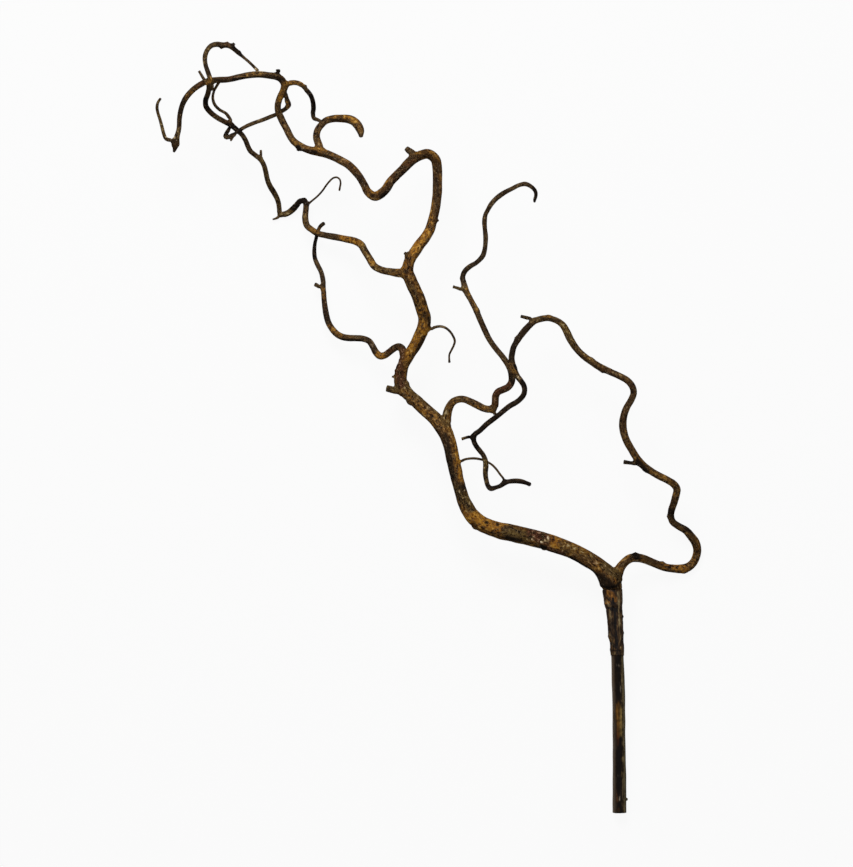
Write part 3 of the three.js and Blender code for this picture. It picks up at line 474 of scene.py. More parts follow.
        [-126.5, 341.5, 72.5, 4.2], [-122.5, 337.5, 69, 4.1], [-117.3, 331, 64, 3.9],
        [-115, 324.5, 59.5, 4], [-114.5, 318.5, 55.5, 4.1], [-115.1, 313.2, 52, 3.9],
        [-114, 308.3, 49.5, 3.5], [-110, 306.5, 48, 3], [-106, 304.5, 47, 2.6],
    ],
    "crossTwig": [
        [-143.5, 338.5, 78.5, 5], [-142.5, 331.5, 72.5, 4.1], [-140.9, 326, 67, 4.3],
        [-139.6, 321.6, 62.5, 4.8], [-142.3, 317.9, 58, 3.8], [-146.5, 315.2, 54, 3.6],
        [-151, 312.5, 52, 3.4], [-157.5, 309.8, 51, 3.4], [-165.5, 306.5, 52.5, 3.4],
        [-173, 304, 55.5, 3.3], [-178.5, 301.7, 58, 3.3], [-184, 299, 60.5, 3.2],
        [-189.5, 295.5, 62.5, 3.4], [-195, 291.5, 63.5, 3.7], [-199.3, 289.4, 64, 4.2],
        [-202.2, 289.9, 63.5, 4.3], [-201.5, 293.2, 60.5, 3.6], [-199.3, 296.9, 56, 3.3],
        [-198.3, 298.9, 51, 2.8],
    ],
    "tendrils": [
        [
            [-196.2, 301.5, 57, 3.6], [-198.5, 308, 60.5, 3.1], [-202, 313, 64, 2.6],
            [-208.5, 316.8, 68, 2.6], [-213.3, 322, 72.5, 2.6], [-215.2, 328.5, 77, 2.4],
            [-214, 335.5, 81.5, 2.3], [-211.3, 340.5, 84, 2.4], [-208.7, 344.7, 85.5, 2.6],
        ],
        [
            [-253, 285.5, 62, 4.1], [-258, 286.4, 63, 3.4], [-262, 287.8, 64.5, 3.2],
            [-264.2, 292.5, 66, 2.9], [-266, 299.5, 68, 2.8], [-268, 307, 70, 2.6],
            [-270.1, 313.5, 72, 2.6], [-271, 319, 74, 2.6], [-270, 324, 76, 2.4],
            [-267.7, 327.7, 77.5, 2.2],
        ],
        [
            [-120.5, 222, 11.5, 2.8], [-117.5, 224.5, 13, 1.8], [-110, 230.8, 17.5, 1.6],
            [-105.5, 235.8, 20, 1.6], [-101.7, 241.2, 22, 1.6], [-98, 245.7, 23.5, 1.6],
            [-94.7, 248.5, 24.5, 1.6], [-91.3, 249.2, 25, 1.6], [-88.3, 247.2, 25, 1.5],
            [-87.4, 243.5, 24.5, 1.5], [-88, 239.5, 23.5, 1.6], [-88.6, 236.2, 22.5, 1.6],
        ],
        [
            [-1.5, 97, 59, 4], [2.5, 97.5, 59.3, 3.2], [7, 99.3, 59.8, 2.5], [12, 100.1, 60, 2.2],
            [17, 98.9, 59.6, 2.1], [21.5, 95.5, 58.5, 2], [25, 90.5, 57, 2], [26.8, 85.5, 55, 2],
            [25.7, 81, 53.5, 1.9], [23.5, 76.5, 52, 1.8], [21.4, 72, 50.7, 1.7], [21.2, 67.5, 49.5, 1.7],
            [21.4, 64.5, 48.7, 2.1],
        ],
        [
            [29, -36, 53, 3.6], [33, -34.7, 53.6, 2.6], [37, -32.9, 54, 2], [44, -31.9, 53.7, 2],
            [50, -32.3, 53, 2], [55.5, -33.7, 52.3, 1.9], [60, -35.7, 52.2, 1.8], [64.5, -38.7, 52.8, 1.8],
            [68.5, -42.9, 54, 1.8], [72, -47.7, 55.4, 1.8], [75.5, -52.3, 56.6, 1.9],
            [76.4, -55.6, 57, 2.6],
        ],
    ],
    "stubs": [
        [
            [-219.3, 339.6, 94.8, 3.2], [-221, 342.6, 98, 2.8], [-225, 348.7, 98.4, 2.5],
            [-229, 355.5, 98, 2.1],
        ],
        [[-215.8, 345, 90, 3.2], [-215.8, 336.3, 89.5, 2.6]],
        [[-192, 293.5, 63, 2.6], [-197.5, 285.8, 65, 1.8]],
        [[-150, 352.4, 88.5, 4.4], [-150, 356.6, 89.5, 4]],
        [[-13.6, 271.8, 67.5, 7], [-19.5, 276.2, 69.5, 5.2], [-21.6, 278.1, 70.3, 4.4]],
        [[-20, 171, 74, 5.3], [-23.4, 173.7, 75, 2.6]],
        [[6, 205.5, 60, 3.6], [10.6, 206.3, 60.5, 1.8]],
        [[-128.5, 279.5, 64, 5], [-130.1, 276, 64, 3.8]],
        [[-26, 35.5, 40.5, 8.5], [-34, 36.5, 41, 6.6], [-41.1, 38.1, 41.5, 5.8]],
        [[-24, 43, 40.5, 5], [-19.3, 43.5, 40.5, 3]],
        [[-16, 26.5, 42, 6], [-19.6, 22.9, 42, 4]],
        [[-29, 49.5, 41, 3.4], [-36, 49.8, 41.5, 1.6]],
        [[-27, 60, 42.5, 3.6], [-31.3, 60.8, 43, 2]],
        [[-28, 55.3, 42, 3.6], [-33, 55.6, 42, 2]],
        [[-167.2, 268.5, 38.5, 2.8], [-167.1, 276.3, 40, 1.8]],
        [[-147, 211.5, 2.6, 3.4], [-151.5, 208.3, 3, 2], [-155.3, 207.1, 3.5, 1.4]],
        [[-123.2, 225.5, 10.2, 4.4], [-123.6, 228.2, 10.4, 2.6]],
        [[-196.5, 380, 85, 3.6], [-193.7, 383, 85.5, 2.8]],
        [[-201, 382.5, 86.5, 3.4], [-200.6, 384.7, 87, 2]],
        [[-206.5, 380.5, 87, 3.4], [-206.5, 377.7, 87, 1.8]],
        [[-189.5, 373.5, 83, 3], [-187.7, 375.3, 83.5, 1.8]],
        [[-124, 339, 70.5, 3.6], [-121.5, 340.9, 71, 2.4]],
        [[-105.5, 138.5, 11.5, 4], [-113.2, 142.2, 12.5, 3.2]],
        [[35.5, 136.7, 80, 3.8], [27, 139.2, 81, 2.4], [25.2, 139.8, 81, 2.9]],
        [[34, 148, 75.5, 3.6], [32.3, 147.8, 75.5, 2]],
        [[48.5, 115.5, 88, 4.4], [50.9, 116.9, 88, 2.6]],
        [[65, 16.5, 64.5, 5], [67, 12.5, 65, 3]],
        [[208, -129.5, 22, 4.4], [207.3, -126, 22.5, 3]],
        [[235, -138.5, 12, 4], [234.7, -135, 12.5, 2.4]],
        [[256, -143.5, 4.8, 5], [256.5, -146.5, 4.6, 3.6]],
        [[242.5, -90.5, 23, 4], [239, -89.5, 23.3, 2]],
        [[217, -41.5, 51.5, 4.6], [218, -45.5, 50.5, 3]],
        [[209, -36.5, 54, 6], [204, -36.5, 54.3, 3.2], [195.9, -35.5, 54.8, 3.6]],
        [[163, 65.5, 61, 4.4], [164.5, 68.3, 61.3, 2.6]],
        [[174, 57, 59.5, 4], [174.3, 53.8, 59.3, 2.4]],
        [[106, 106.5, 67, 3.6], [100.5, 108.2, 67.8, 3.2], [92.9, 110.2, 69, 2.6]],
        [[121, 109.5, 66.5, 4], [121, 111.3, 66.7, 2.2]],
        [[90, 87, 67.2, 4], [87, 88.9, 67.5, 3]],
        [[86, 59, 73.5, 4], [88.6, 59.8, 73.7, 2.2]],
        [[45.5, -10, 64.5, 3.6], [39.5, -10.7, 64.8, 2.4], [33.8, -12.5, 64.8, 2.6]],
        [[49, -98.5, 47.5, 6], [45.7, -101.8, 47.3, 3.4]],
        [[116, -119.5, 39, 5], [115.7, -123.3, 38.8, 2.6]],
    ],
}

# The straight stem, from under the binding to its cut end, and the knots on it.
stemShape = {
    "route": [
        [186.5, -163.2, 29.5, 11.8], [187.1, -177, 28.1, 11.8], [187.9, -194, 26.4, 11.8],
        [188.7, -214, 24.3, 11.7], [189.6, -234, 22.3, 11.7], [190.2, -254, 20.2, 12.1],
        [190.8, -279, 17.6, 12.1], [191, -309, 14.5, 11.9], [191.3, -339, 11.4, 12.5],
        [191.4, -364, 8.9, 13], [191.5, -386, 6.5, 13],
    ],
    "seatGap": 0.35,
    "spaceSides": 40,  # of the room that the branch leaves for it
    "spaceSpacing": 4,
    "sides": 36,
    "spacing": 1.5,
    "endDome": 0.03,
    "knots": [
        [[190.4, -372.5, 9, 9], [196.2, -372.5, 9, 5], [198.6, -372.8, 9, 2.6]],
    ],
    "knotSides": 14,
    "knotSpacing": 0.8,
    "knotDome": 0.4,
    "wrinkleSize": (1.6, 1.6, 14),
    "wrinkleHeight": 0.14,
    "lumpSize": (5, 5, 16),
    "lumpHeight": 0.22,
    "flankFrom": 0.8,  # of the radius: nearer the middle is a cut end, which stays flat
    "wrapEnds": -229,
    "reliefStarts": 3,
}
# Where the stem is stained, and where glints are painted: [right, down, right, down, reach, share] in mm
# from the view's corner.
stemMarks = {
    "golden": [
        [618.2, 712, 618.8, 728, 2.7, 0.9], [618.4, 800, 618.6, 810, 1.6, 0.3],
        [616.5, 676, 617, 680, 1.2, 0.3],
    ],
    "olive": [
        [620.8, 712, 621.2, 732, 1.5, 0.75], [621.8, 752, 622.2, 776, 0.8, 0.25],
    ],
    "red": [
        [617.4, 734, 618, 740, 1.8, 0.6], [617, 798, 617.6, 806, 1.6, 0.3],
    ],
    "dark": [
        [617.2, 666, 617.4, 690, 2.8, 0.75], [617.6, 758, 618, 782, 2.8, 0.75],
        [614.6, 716, 614.8, 740, 1, 0.5],
    ],
    # small painted glints
    "pale": [
        [620.4, 689, 620.6, 690.5, 0.7, 0.8], [619.4, 798.5, 619.6, 799.5, 0.5, 0.75],
        [618.6, 665, 618.8, 666.5, 0.5, 0.45],
    ],
}

# The binding: thin tape in slanting turns round the stem and the tail that lies against it. The
# upper turns are laid double and bridge the groove between the two; the lower ones follow it.
stemWrap = {
    "top": -163,
    "bottom": -229.6,
    "topRise": 1.3,  # the tape climbs onto the branch on its right side
    "riseReach": 6,
    "riseSharpness": 1.5,
    "spacing": 0.6,
    "sides": 72,
    "clearance": 0.3,
    "thickness": 0.3,
    "turn": 11,
    "slant": 3.4,
    "lapHeight": 0.25,
    "lapEdge": 0.08,  # of a turn
    "thinnest": 0.35,  # what is left of the thickness where the tape thins out
    "tierEnds": -181.5,
    "tierSlope": 2,
    "tierSlant": 0.6,
    "upperTier": 0.8,
    "fadedEdge": 9,
    "tailStarts": -212,
    "tailEnds": -222,
    "middleShare": 0.25,  # of the way from the stem's middle to the tail's
    "groove": 0.6,
    "bridge": 5,
    "bridgeFill": 0.8,
    "rolledEdge": 2.2,
    "rimLift": 0.5,
    "footFade": 7,
    "creaseHeight": 0.22,
    "creasesAcross": 3.2,
    "creaseLength": 7,
    # small lumps under the tape: how far down the view, on which side in degrees, height and width
    "nubs": [
        (617, 0, 0.9, 1.5), (633, 0, 0.6, 1.8), (637, 180, 0.8, 1.3), (650, 180, 0.4, 1.5),
        (606, 180, 0.5, 1.6),
    ],
    "nubSharpness": 6,
    "grainRadius": 6,
}
wrapMarks = {
    # the tape's own orange patches; the last mark, on the tail's strand, is also a painted highlight
    "golden": [
        [609, 592, 615, 600, 3.4, 0.85], [606, 591, 607, 600, 2, 0.4], [610, 602, 606, 604, 1.6, 0.5],
        [608, 612, 610, 630, 2, 0.3],
    ],
    # painted shade: under the collar's rim, in the lap creases, under the upper tier's step, in the groove
    # between tail and stem, in the crease near the foot and along the right edge
    "dark": [
        [603, 589, 613, 589.5, 1.2, 1], [606.5, 598, 613, 604.5, 0.8, 0.65],
        [613, 599, 613.5, 604, 1.4, 0.8], [608, 608.4, 612, 609, 1.2, 0.9], [612, 609.5, 617, 610.5, 2, 1],
        [614.8, 612, 615.4, 632, 1.3, 1], [615.5, 632, 617, 645, 1.5, 0.9], [612, 644, 616, 648, 1.8, 0.7],
        [611, 650.6, 621, 651, 0.6, 0.8], [622.6, 612, 623.4, 632, 0.8, 0.6],
    ],
    # mostly painted highlights: along the right side, on the tail's strand and on the upper tier's lower
    # lip; the band near the foot is the tape's own lighter tone
    "pale": [
        [616, 592, 616.6, 604, 1.2, 0.4], [618.4, 593, 619, 606, 1.4, 0.8],
        [610, 612, 611.5, 628, 1.6, 0.5], [618.6, 608, 619.8, 634, 1.1, 0.7],
        [620, 634, 620.5, 648, 0.9, 0.45], [607, 606, 613, 606.6, 0.7, 0.6], [608, 634, 612, 636, 1.4, 0.5],
        [612, 654, 622, 654, 1.7, 0.4], [605, 601, 609, 605, 0.6, 0.6], [612, 638, 613, 646, 1.2, 0.35],
    ],
}

# How finely the branch is cut up, how its forks swell and how rough its bark is.
branchFinish = {
    "spacing": 1.25,  # mm between rings
    "sidesPerMillimetre": 2.1,  # points round a limb for each mm of its diameter
    "fewestSides": 8,
    "mostSides": 28,
    "mainLimbSides": 27,
    "domes": {"mainLimb": 0.06, "tail": 0.06, "stubs": 0.12},  # of the diameter, at both ends
    "usualDome": 0.35,
    "forkReach": 3.4,  # mm from a fork over which its skin swells and softens
    "reachPerRadius": 1.3,
    "forkEdge": 1.4,
    "forkSwell": 0.2,  # of the reach
    "softenBefore": (0.6, 8),  # share and rounds
    "softenAfter": (0.5, 3),
    "lumpSize": 9,
    "lumpHeight": 0.045,  # of the radius
    "wrinkleSize": (2.4, 2.4, 11),
    "wrinkleHeight": 0.035,
    "grainSize": 1.7,
    "grainHeight": 0.1,  # mm
    "fullGrain": 4,  # mm of radius from which the grain has its full height
    "oldBark": 4.8,  # mm of radius from which a limb has old, rusty bark
    "youngBand": 2.2,
}

# Where the bark changes its tone: [right, down, right, down, reach, share] along the limbs, in mm
# from the view's corner.
barkMarks = {
    "golden": [
        [468, 516, 503, 529, 6.5, 1], [552, 538, 556, 546, 5, 1], [558, 541, 584, 552, 5.5, 0.55],
        [455, 430, 460, 476, 3.2, 0.75], [452, 402, 492, 411, 2.4, 0.45], [459, 481, 461, 485, 2.6, 0.9],
        [421, 325, 426, 332, 5, 1], [417, 337, 411, 350, 4.5, 0.9], [408, 352, 406, 358, 3.5, 0.8],
        [423, 309, 426, 309, 4, 0.6], [413, 251, 426, 233, 4.5, 0.9], [432, 206, 430, 222, 5, 0.5],
        [404, 265, 398, 268, 3.4, 0.7], [340, 237, 361, 244, 3.4, 0.75], [368, 252, 372, 264, 3.5, 0.5],
        [319, 231, 310, 230, 4, 0.45], [304, 222, 305, 208, 3, 0.25], [378, 355, 384, 357, 3.2, 0.8],
        [328, 326, 340, 336, 3, 0.55], [323, 290, 323, 300, 3, 0.5], [390, 180, 384, 189, 2.8, 0.6],
        [369, 190, 378, 195, 3, 0.6], [418, 154, 430, 153, 2.6, 0.4], [283, 84, 280, 100, 3, 0.6],
        [292, 140, 300, 146, 3, 0.35], [313, 148, 326, 151, 2.4, 0.45], [345, 118, 356, 121, 3, 0.6],
        [326, 119, 340, 117, 2.2, 0.4], [288, 83, 303, 84, 3, 0.5], [243, 76, 262, 73, 2, 0.3],
        [212, 79, 206, 84, 3, 0.5], [186, 98, 196, 88, 2.5, 0.4], [287, 104, 289, 108, 2.6, 0.6],
        [467, 290, 477, 312, 2.4, 0.4], [662, 566, 684, 568, 3.4, 0.7], [693, 560, 697, 548, 3, 0.45],
        [648, 471, 664, 477, 2.6, 0.4], [591, 360, 585, 357, 2.4, 0.35], [550, 316, 545, 316, 3, 0.5],
        [515, 374, 510, 364, 2.4, 0.4],
    ],
    "olive": [
        [507, 532, 526, 538, 7, 0.9], [563, 546, 590, 558, 6, 0.6], [604, 566, 617, 575, 5, 0.9],
        [300, 205, 306, 224, 3, 0.5], [457, 488, 464, 500, 6, 0.9], [466, 502, 470, 508, 6, 0.8],
        [443, 412, 430, 402, 6.5, 0.7], [430, 402, 406, 386, 5.5, 0.75], [396, 389, 387, 387, 5, 0.8],
        [417, 305, 409, 285, 5, 0.5], [565, 325, 572, 345, 5, 0.7], [575, 348, 590, 360, 4, 0.4],
        [530, 320, 545, 317, 4, 0.4], [376, 268, 394, 270, 4, 0.5], [362, 246, 370, 258, 4, 0.5],
        [262, 160, 280, 212, 4, 0.6], [284, 214, 292, 210, 4, 0.6], [165, 138, 158, 100, 3, 0.6],
        [179, 140, 181, 112, 4, 0.4], [208, 48, 204, 62, 3.5, 0.6], [225, 43, 216, 44, 3, 0.5],
        [461, 438, 470, 436, 3, 0.5], [453, 286, 462, 289, 3, 0.7], [485, 460, 484, 482, 3, 0.85],
        [296, 135, 289, 120, 4, 0.4], [616, 572, 620, 580, 4, 0.8], [436, 408, 446, 424, 4.5, 0.6],
        [470, 268, 464, 280, 3, 0.4], [448, 398, 458, 397, 3, 0.35],
    ],
    "red": [
        [532, 534, 546, 540, 6.5, 0.9], [548, 549, 562, 554, 3, 0.8], [575, 555, 592, 564, 4, 0.4],
        [398, 360, 401, 384, 5, 0.85], [402, 346, 403, 358, 3.5, 0.7], [445, 440, 451, 478, 4, 0.8],
        [408, 262, 409, 272, 3.4, 0.4], [436, 162, 438, 200, 3, 0.4], [388, 350, 396, 346, 4, 0.7],
        [326, 302, 327, 322, 4, 0.7], [392, 182, 412, 163, 4.2, 0.75], [345, 162, 362, 179, 2.8, 0.4],
        [498, 392, 512, 384, 4, 0.8], [495, 394, 495, 404, 4, 0.6], [600, 370, 612, 374, 4, 0.5],
        [632, 385, 630, 400, 4, 0.5], [220, 43, 228, 44, 3, 0.6], [226, 79, 236, 79, 3.5, 0.6],
        [204, 82, 196, 87, 3, 0.6],
    ],
    "umber": [
        [392, 346, 402, 344, 4, 0.8], [368, 343, 374, 351, 3.5, 0.6], [461, 485, 466, 490, 3.6, 0.8],
        [438, 430, 446, 441, 3.6, 0.9], [446, 440, 452, 476, 4, 1], [453, 474, 456, 484, 3.6, 0.9],
        [392, 188, 414, 166, 3.2, 1], [208, 108, 234, 126, 4, 1], [672, 500, 670, 512, 4, 0.9],
        [622, 412, 620, 430, 3, 0.8], [634, 385, 630, 402, 4, 0.8], [484, 222, 486, 232, 3, 0.7],
        [480, 322, 498, 350, 2.4, 0.7], [622, 566, 634, 556, 2.6, 0.8], [436, 168, 437, 226, 4.2, 0.75],
        [444, 436, 451, 478, 3.6, 1], [424, 152, 438, 166, 3.6, 0.75], [410, 158, 426, 156, 2.4, 0.9],
        [372, 196, 384, 197, 2.6, 0.8], [384, 197, 396, 184, 2.4, 0.9], [396, 170, 410, 160, 3, 0.5],
        [356, 172, 368, 192, 3, 0.6], [545, 560, 572, 568, 2.2, 0.7], [407, 390, 432, 410, 2, 0.5],
        [180, 112, 178, 126, 3, 0.7], [232, 82, 262, 81, 2, 0.9], [262, 79, 282, 82, 3, 0.7],
        [600, 370, 630, 384, 2.6, 0.6], [634, 388, 626, 404, 3.4, 0.7], [620, 440, 632, 456, 2.6, 0.5],
        [345, 164, 360, 180, 2.6, 0.6], [326, 302, 328, 322, 3, 0.6], [380, 196, 402, 170, 3.4, 0.85],
        [628, 400, 622, 430, 3, 0.7], [604, 568, 622, 578, 4, 0.4], [636, 462, 660, 476, 2.6, 0.4],
    ],
    "dark": [
        # the first four marks darken the fork's collar, which is dark bark with painted shade along its
        # rounded lower rim above the binding
        [599, 577, 611, 586, 5.5, 0.82], [601.5, 585, 608, 588.5, 2.2, 1], [608, 588.5, 616, 586.5, 2.2, 1],
        [616, 586.5, 621, 582, 1.3, 1], [571, 559, 598, 577, 3, 0.9], [545, 548, 541, 547, 2.4, 1],
        [486, 523, 487, 523, 2, 0.9], [497, 524, 498, 525, 1.5, 0.9], [476, 527, 474, 523, 2, 0.6],
        [507, 538, 520, 541, 2.4, 0.8], [461, 487, 466, 488, 2.6, 0.7], [455, 490, 458, 498, 2.4, 0.5],
        [423, 340, 416, 353, 1.8, 0.7], [424, 313, 427, 319, 2.6, 0.5], [414, 316, 416, 322, 2.2, 0.5],
        [429, 318, 429, 326, 1.5, 0.75], [436, 180, 438, 192, 2.5, 0.5], [382, 197, 392, 189, 3, 0.75],
        [446, 436, 452, 478, 3, 0.65], [437, 160, 439, 172, 2.6, 0.5], [300, 150, 316, 153, 2.2, 0.9],
        [298, 148, 300, 150, 3, 1], [318, 154, 340, 160, 1.6, 0.7], [357, 178, 364, 184, 4, 0.6],
        [309, 94, 314, 108, 4, 1], [314, 108, 314, 114, 3.5, 0.8], [330, 120, 346, 121, 1.6, 0.7],
        [266, 77, 283, 80, 3, 0.65], [233, 80, 264, 78, 2, 0.9], [214, 80, 232, 82, 1.8, 0.7],
        [276, 71, 279, 72, 3.5, 1], [206, 100, 208, 108, 3.5, 1], [228, 127, 238, 130, 4, 1],
        [209, 85, 207, 95, 2, 0.6], [224, 135, 236, 132, 3, 0.8], [244, 142, 252, 156, 4, 0.5],
        [266, 172, 270, 192, 4, 0.4], [294, 208, 302, 201, 4, 1], [302, 200, 306, 202, 4, 0.9],
        [182, 96, 180, 112, 4, 0.7], [175, 142, 174, 150, 5, 0.7], [233, 46, 241, 55, 3, 0.9],
        [220, 46, 223, 47, 2.5, 0.7], [207, 66, 209, 74, 3, 0.7], [326, 235, 338, 236, 3, 0.5],
        [315, 238, 315, 256, 4, 1], [320, 226, 325, 222, 3, 0.6], [322, 278, 325, 286, 3, 0.5],
        [325, 310, 328, 322, 3.5, 0.6], [342, 340, 360, 341, 1.5, 0.8], [368, 342, 374, 350, 3, 0.55],
        [400, 344, 403, 347, 3, 0.35], [366, 250, 370, 254, 2, 0.7], [528, 326, 514, 345, 3.6, 0.65],
        [514, 345, 512, 360, 4, 0.8], [515, 366, 518, 370, 2, 1], [524, 382, 526, 396, 4, 0.9],
        [526, 396, 475, 435, 4.5, 0.8], [475, 435, 470, 437, 3, 1], [473, 437, 476, 448, 4, 0.9],
        [476, 448, 485, 458, 3, 0.6], [488, 487, 503, 484, 4, 0.85], [503, 482, 530, 485, 4, 0.85],
        [510, 376, 514, 384, 3.4, 0.7], [670, 512, 690, 530, 4.4, 0.8], [690, 530, 697, 552, 3.4, 0.55],
        [645, 558, 662, 566, 3, 0.6], [634, 553, 637, 557, 4, 1], [638, 463, 646, 472, 4, 0.9],
        [624, 461, 632, 462, 3, 0.8], [516, 318, 522, 315, 3, 0.8], [500, 194, 508, 190, 3, 0.6],
        [481, 258, 470, 268, 3, 0.6], [464, 270, 463, 280, 4, 0.7], [535, 190, 536, 202, 4, 0.9],
        [398, 158, 410, 160, 2, 0.5], [484, 228, 486, 256, 2, 0.35], [540, 318, 560, 322, 1.6, 0.6],
        [574, 352, 600, 370, 1.8, 0.5], [604, 372, 622, 382, 1.8, 0.5], [484, 250, 481, 258, 3, 0.6],
    ],
    "pale": [
        # the marks at 634, 561 and at 256, 70 paint highlights on a limb; the others are pale spots of bark
        [613, 373, 616, 374, 1, 0.8], [634, 561, 650, 565, 1.1, 0.5], [541, 542, 548, 541, 1.1, 1],
        [548, 541, 548, 538, 1, 0.9], [533, 538, 531, 540, 1, 0.8], [460, 482, 461, 483, 0.9, 0.5],
        [459, 492, 465, 491, 0.7, 0.6], [460, 499, 466, 497, 0.7, 0.6], [428, 408, 429, 409, 1.6, 0.7],
        [175, 138, 166, 137, 1.6, 0.6], [516, 376, 519, 379, 1.6, 0.6], [256, 70, 262, 71, 2.2, 0.7],
    ],
}


def listedLimbs():
    # the points, the point count of a ring and the doming of every limb
    rows = []
    for name, listed in curlyBranch.items():
        dome = branchFinish["domes"].get(name, branchFinish["usualDome"])
        for points in listed if name in ("tendrils", "stubs") else [listed]:
            sides = round(max(point[3] for point in points) * branchFinish["sidesPerMillimetre"])
            sides = min(max(sides, branchFinish["fewestSides"]), branchFinish["mostSides"])
            rows.append((points, branchFinish["mainLimbSides"] if name == "mainLimb" else sides, dome))
    return rows


def swellForks(branch, places, radius, widestOther, clearance):
    # fills the corners between limbs, as wood does, and softens them
    reach = branchFinish["reachPerRadius"] * np.minimum(radius, widestOther)
    reach = np.minimum(branchFinish["forkReach"], reach)
    closeness = np.clip(1 - clearance / reach, 0, 1)
    weights = ease(closeness * branchFinish["forkEdge"])
    share, rounds = branchFinish["softenBefore"]
    places = relax(branch, places, share * weights, rounds)
    setPlaces(branch, places)
    places = places + meshNormals(branch) * (closeness**2 * reach * branchFinish["forkSwell"])[:, None]
    share, rounds = branchFinish["softenAfter"]
    places = relax(branch, places, share * weights, rounds)
    setPlaces(branch, places)
    return places


def makeBranch():
    pieces, limbs = [], []
    for number, (points, sides, dome) in enumerate(listedLimbs()):
        places, faces, rings = limbSurface(points, sides, branchFinish["spacing"], dome)
        pieces.append(meshObject(f"limb{number}", places, faces))
        limbs.append(rings)
    branch = pieces[0]
    combine(branch, pieces[1:], "UNION")
    # room for the stem, which ends beside the branch's tail
    shape = stemShape
    room = [[x, y, z, d + 2 * shape["seatGap"]] for x, y, z, d in shape["route"]]
    places, faces, _ = limbSurface(room, shape["spaceSides"], shape["spaceSpacing"], shape["endDome"])
    combine(branch, [meshObject("stemSpace", places, faces)], "DIFFERENCE")
    branch.name = "willowBranch"
    print("limbs joined:", len(branch.data.vertices), "points")

    places = meshPlaces(branch)
    owner, ring, other, clearance = nearLimbs(places, limbs)
    radius = np.concatenate([limb["radius"] for limb in limbs])[ring]
    widest = np.array([limb["radius"].max() for limb in limbs])
    places = swellForks(branch, places, radius, widest[other], clearance)

    grain = grainPlaces(places, limbs, ring, owner)
    relief = noiseAt(places, branchFinish["lumpSize"]) * branchFinish["lumpHeight"] * radius
    relief += noiseAt(grain, branchFinish["wrinkleSize"]) * branchFinish["wrinkleHeight"] * radius
    fine = branchFinish["grainHeight"] * np.minimum(1, radius / branchFinish["fullGrain"])
    relief += noiseAt(places, branchFinish["grainSize"]) * fine
    places = places + meshNormals(branch) * relief[:, None]
    places[:, 2] = np.maximum(places[:, 2], 0)
    setPlaces(branch, places)

    storeValues(branch, "barkGrain", grain * drawing["unit"])
    storeValues(branch, "thinLimb", ease((branchFinish["oldBark"] - radius) / branchFinish["youngBand"]))
    storeMarks(branch, places, barkMarks, "Bark")
    return branch


# Sizes in mm and colours of the bark; each tone runs from its darkest flecks to its lightest.
barkLook = {
    "shader": {"IOR": 1.46, "Specular IOR Level": 0.07},
    # size, length along the limb, detail and distortion
    "patches": (17, 0.6, 2.0, 0.4),
    "flecks": (2.8, 0.75, 1.8, 0.8),
    "streaks": (1.5, 0.3, 1.5, 0.3),
    "rust": (6, 0.6, 3.0, 0.9),
    "threads": (4.2, 0.7, 2.0, 1.4),
    "patternRoughness": 0.6,
    "streakShare": 0.4,
    "patchShare": 0.33,
    "levels": {"From Min": 0.65, "From Max": 1.08},
    "rustRange": {"From Min": 0.5, "From Max": 0.66, "To Max": 0.65},
    "threadColour": "#836b48",
    "threadWidth": 0.028,
    "threadRange": {"From Min": 0.62, "From Max": 0.3, "To Max": 0.5},  # they show on dark bark alone
    "cover": {"marks": 1.6, "pattern": 2.0, "range": (1.2, 2.6)},
    "roughness": {"To Min": 0.85, "To Max": 0.6},
    "reliefShares": (0.6, 0.3),  # of the streaks and the threads
    "reliefStrength": 0.65,
    "reliefHeight": 0.45,
    "tones": {
        "plain": [
            (0.0, "#0d0604"), (0.22, "#221308"), (0.45, "#41280f"), (0.64, "#60411b"), (0.84, "#7b5a2b"),
            (1.0, "#94754a"),
        ],
        "young": [
            (0.0, "#170e08"), (0.25, "#23180e"), (0.5, "#352717"), (0.72, "#483621"), (0.88, "#58452b"),
            (1.0, "#6c583c"),
        ],
        "golden": [
            (0.0, "#241007"), (0.17, "#44250d"), (0.34, "#6f4513"), (0.6, "#8d5f1e"), (0.84, "#a4782c"),
            (1.0, "#b8924e"),
        ],
        "olive": [
            (0.0, "#0a0603"), (0.26, "#1e150a"), (0.48, "#3c2c13"), (0.7, "#594522"), (0.88, "#74613a"),
            (1.0, "#958460"),
        ],
        "red": [(0.0, "#0a0403"), (0.3, "#1c0e07"), (0.55, "#361c10"), (0.8, "#54321e"), (1.0, "#7e624a")],
        "umber": [
            (0.0, "#0a0502"), (0.3, "#190e06"), (0.6, "#2d1c0d"), (0.85, "#46301a"), (1.0, "#664c2c"),
        ],
        # also the colour of the painted shade at the fork's collar
        "dark": [
            (0.0, "#050303"), (0.45, "#0f0a07"), (0.75, "#1d140d"), (0.92, "#302318"), (1.0, "#4c3d2d"),
        ],
        # also the colour of the painted highlights
        "pale": [(0.0, "#3a2b19"), (0.3, "#715a3a"), (0.6, "#a08862"), (1.0, "#dccbab")],
    },
}


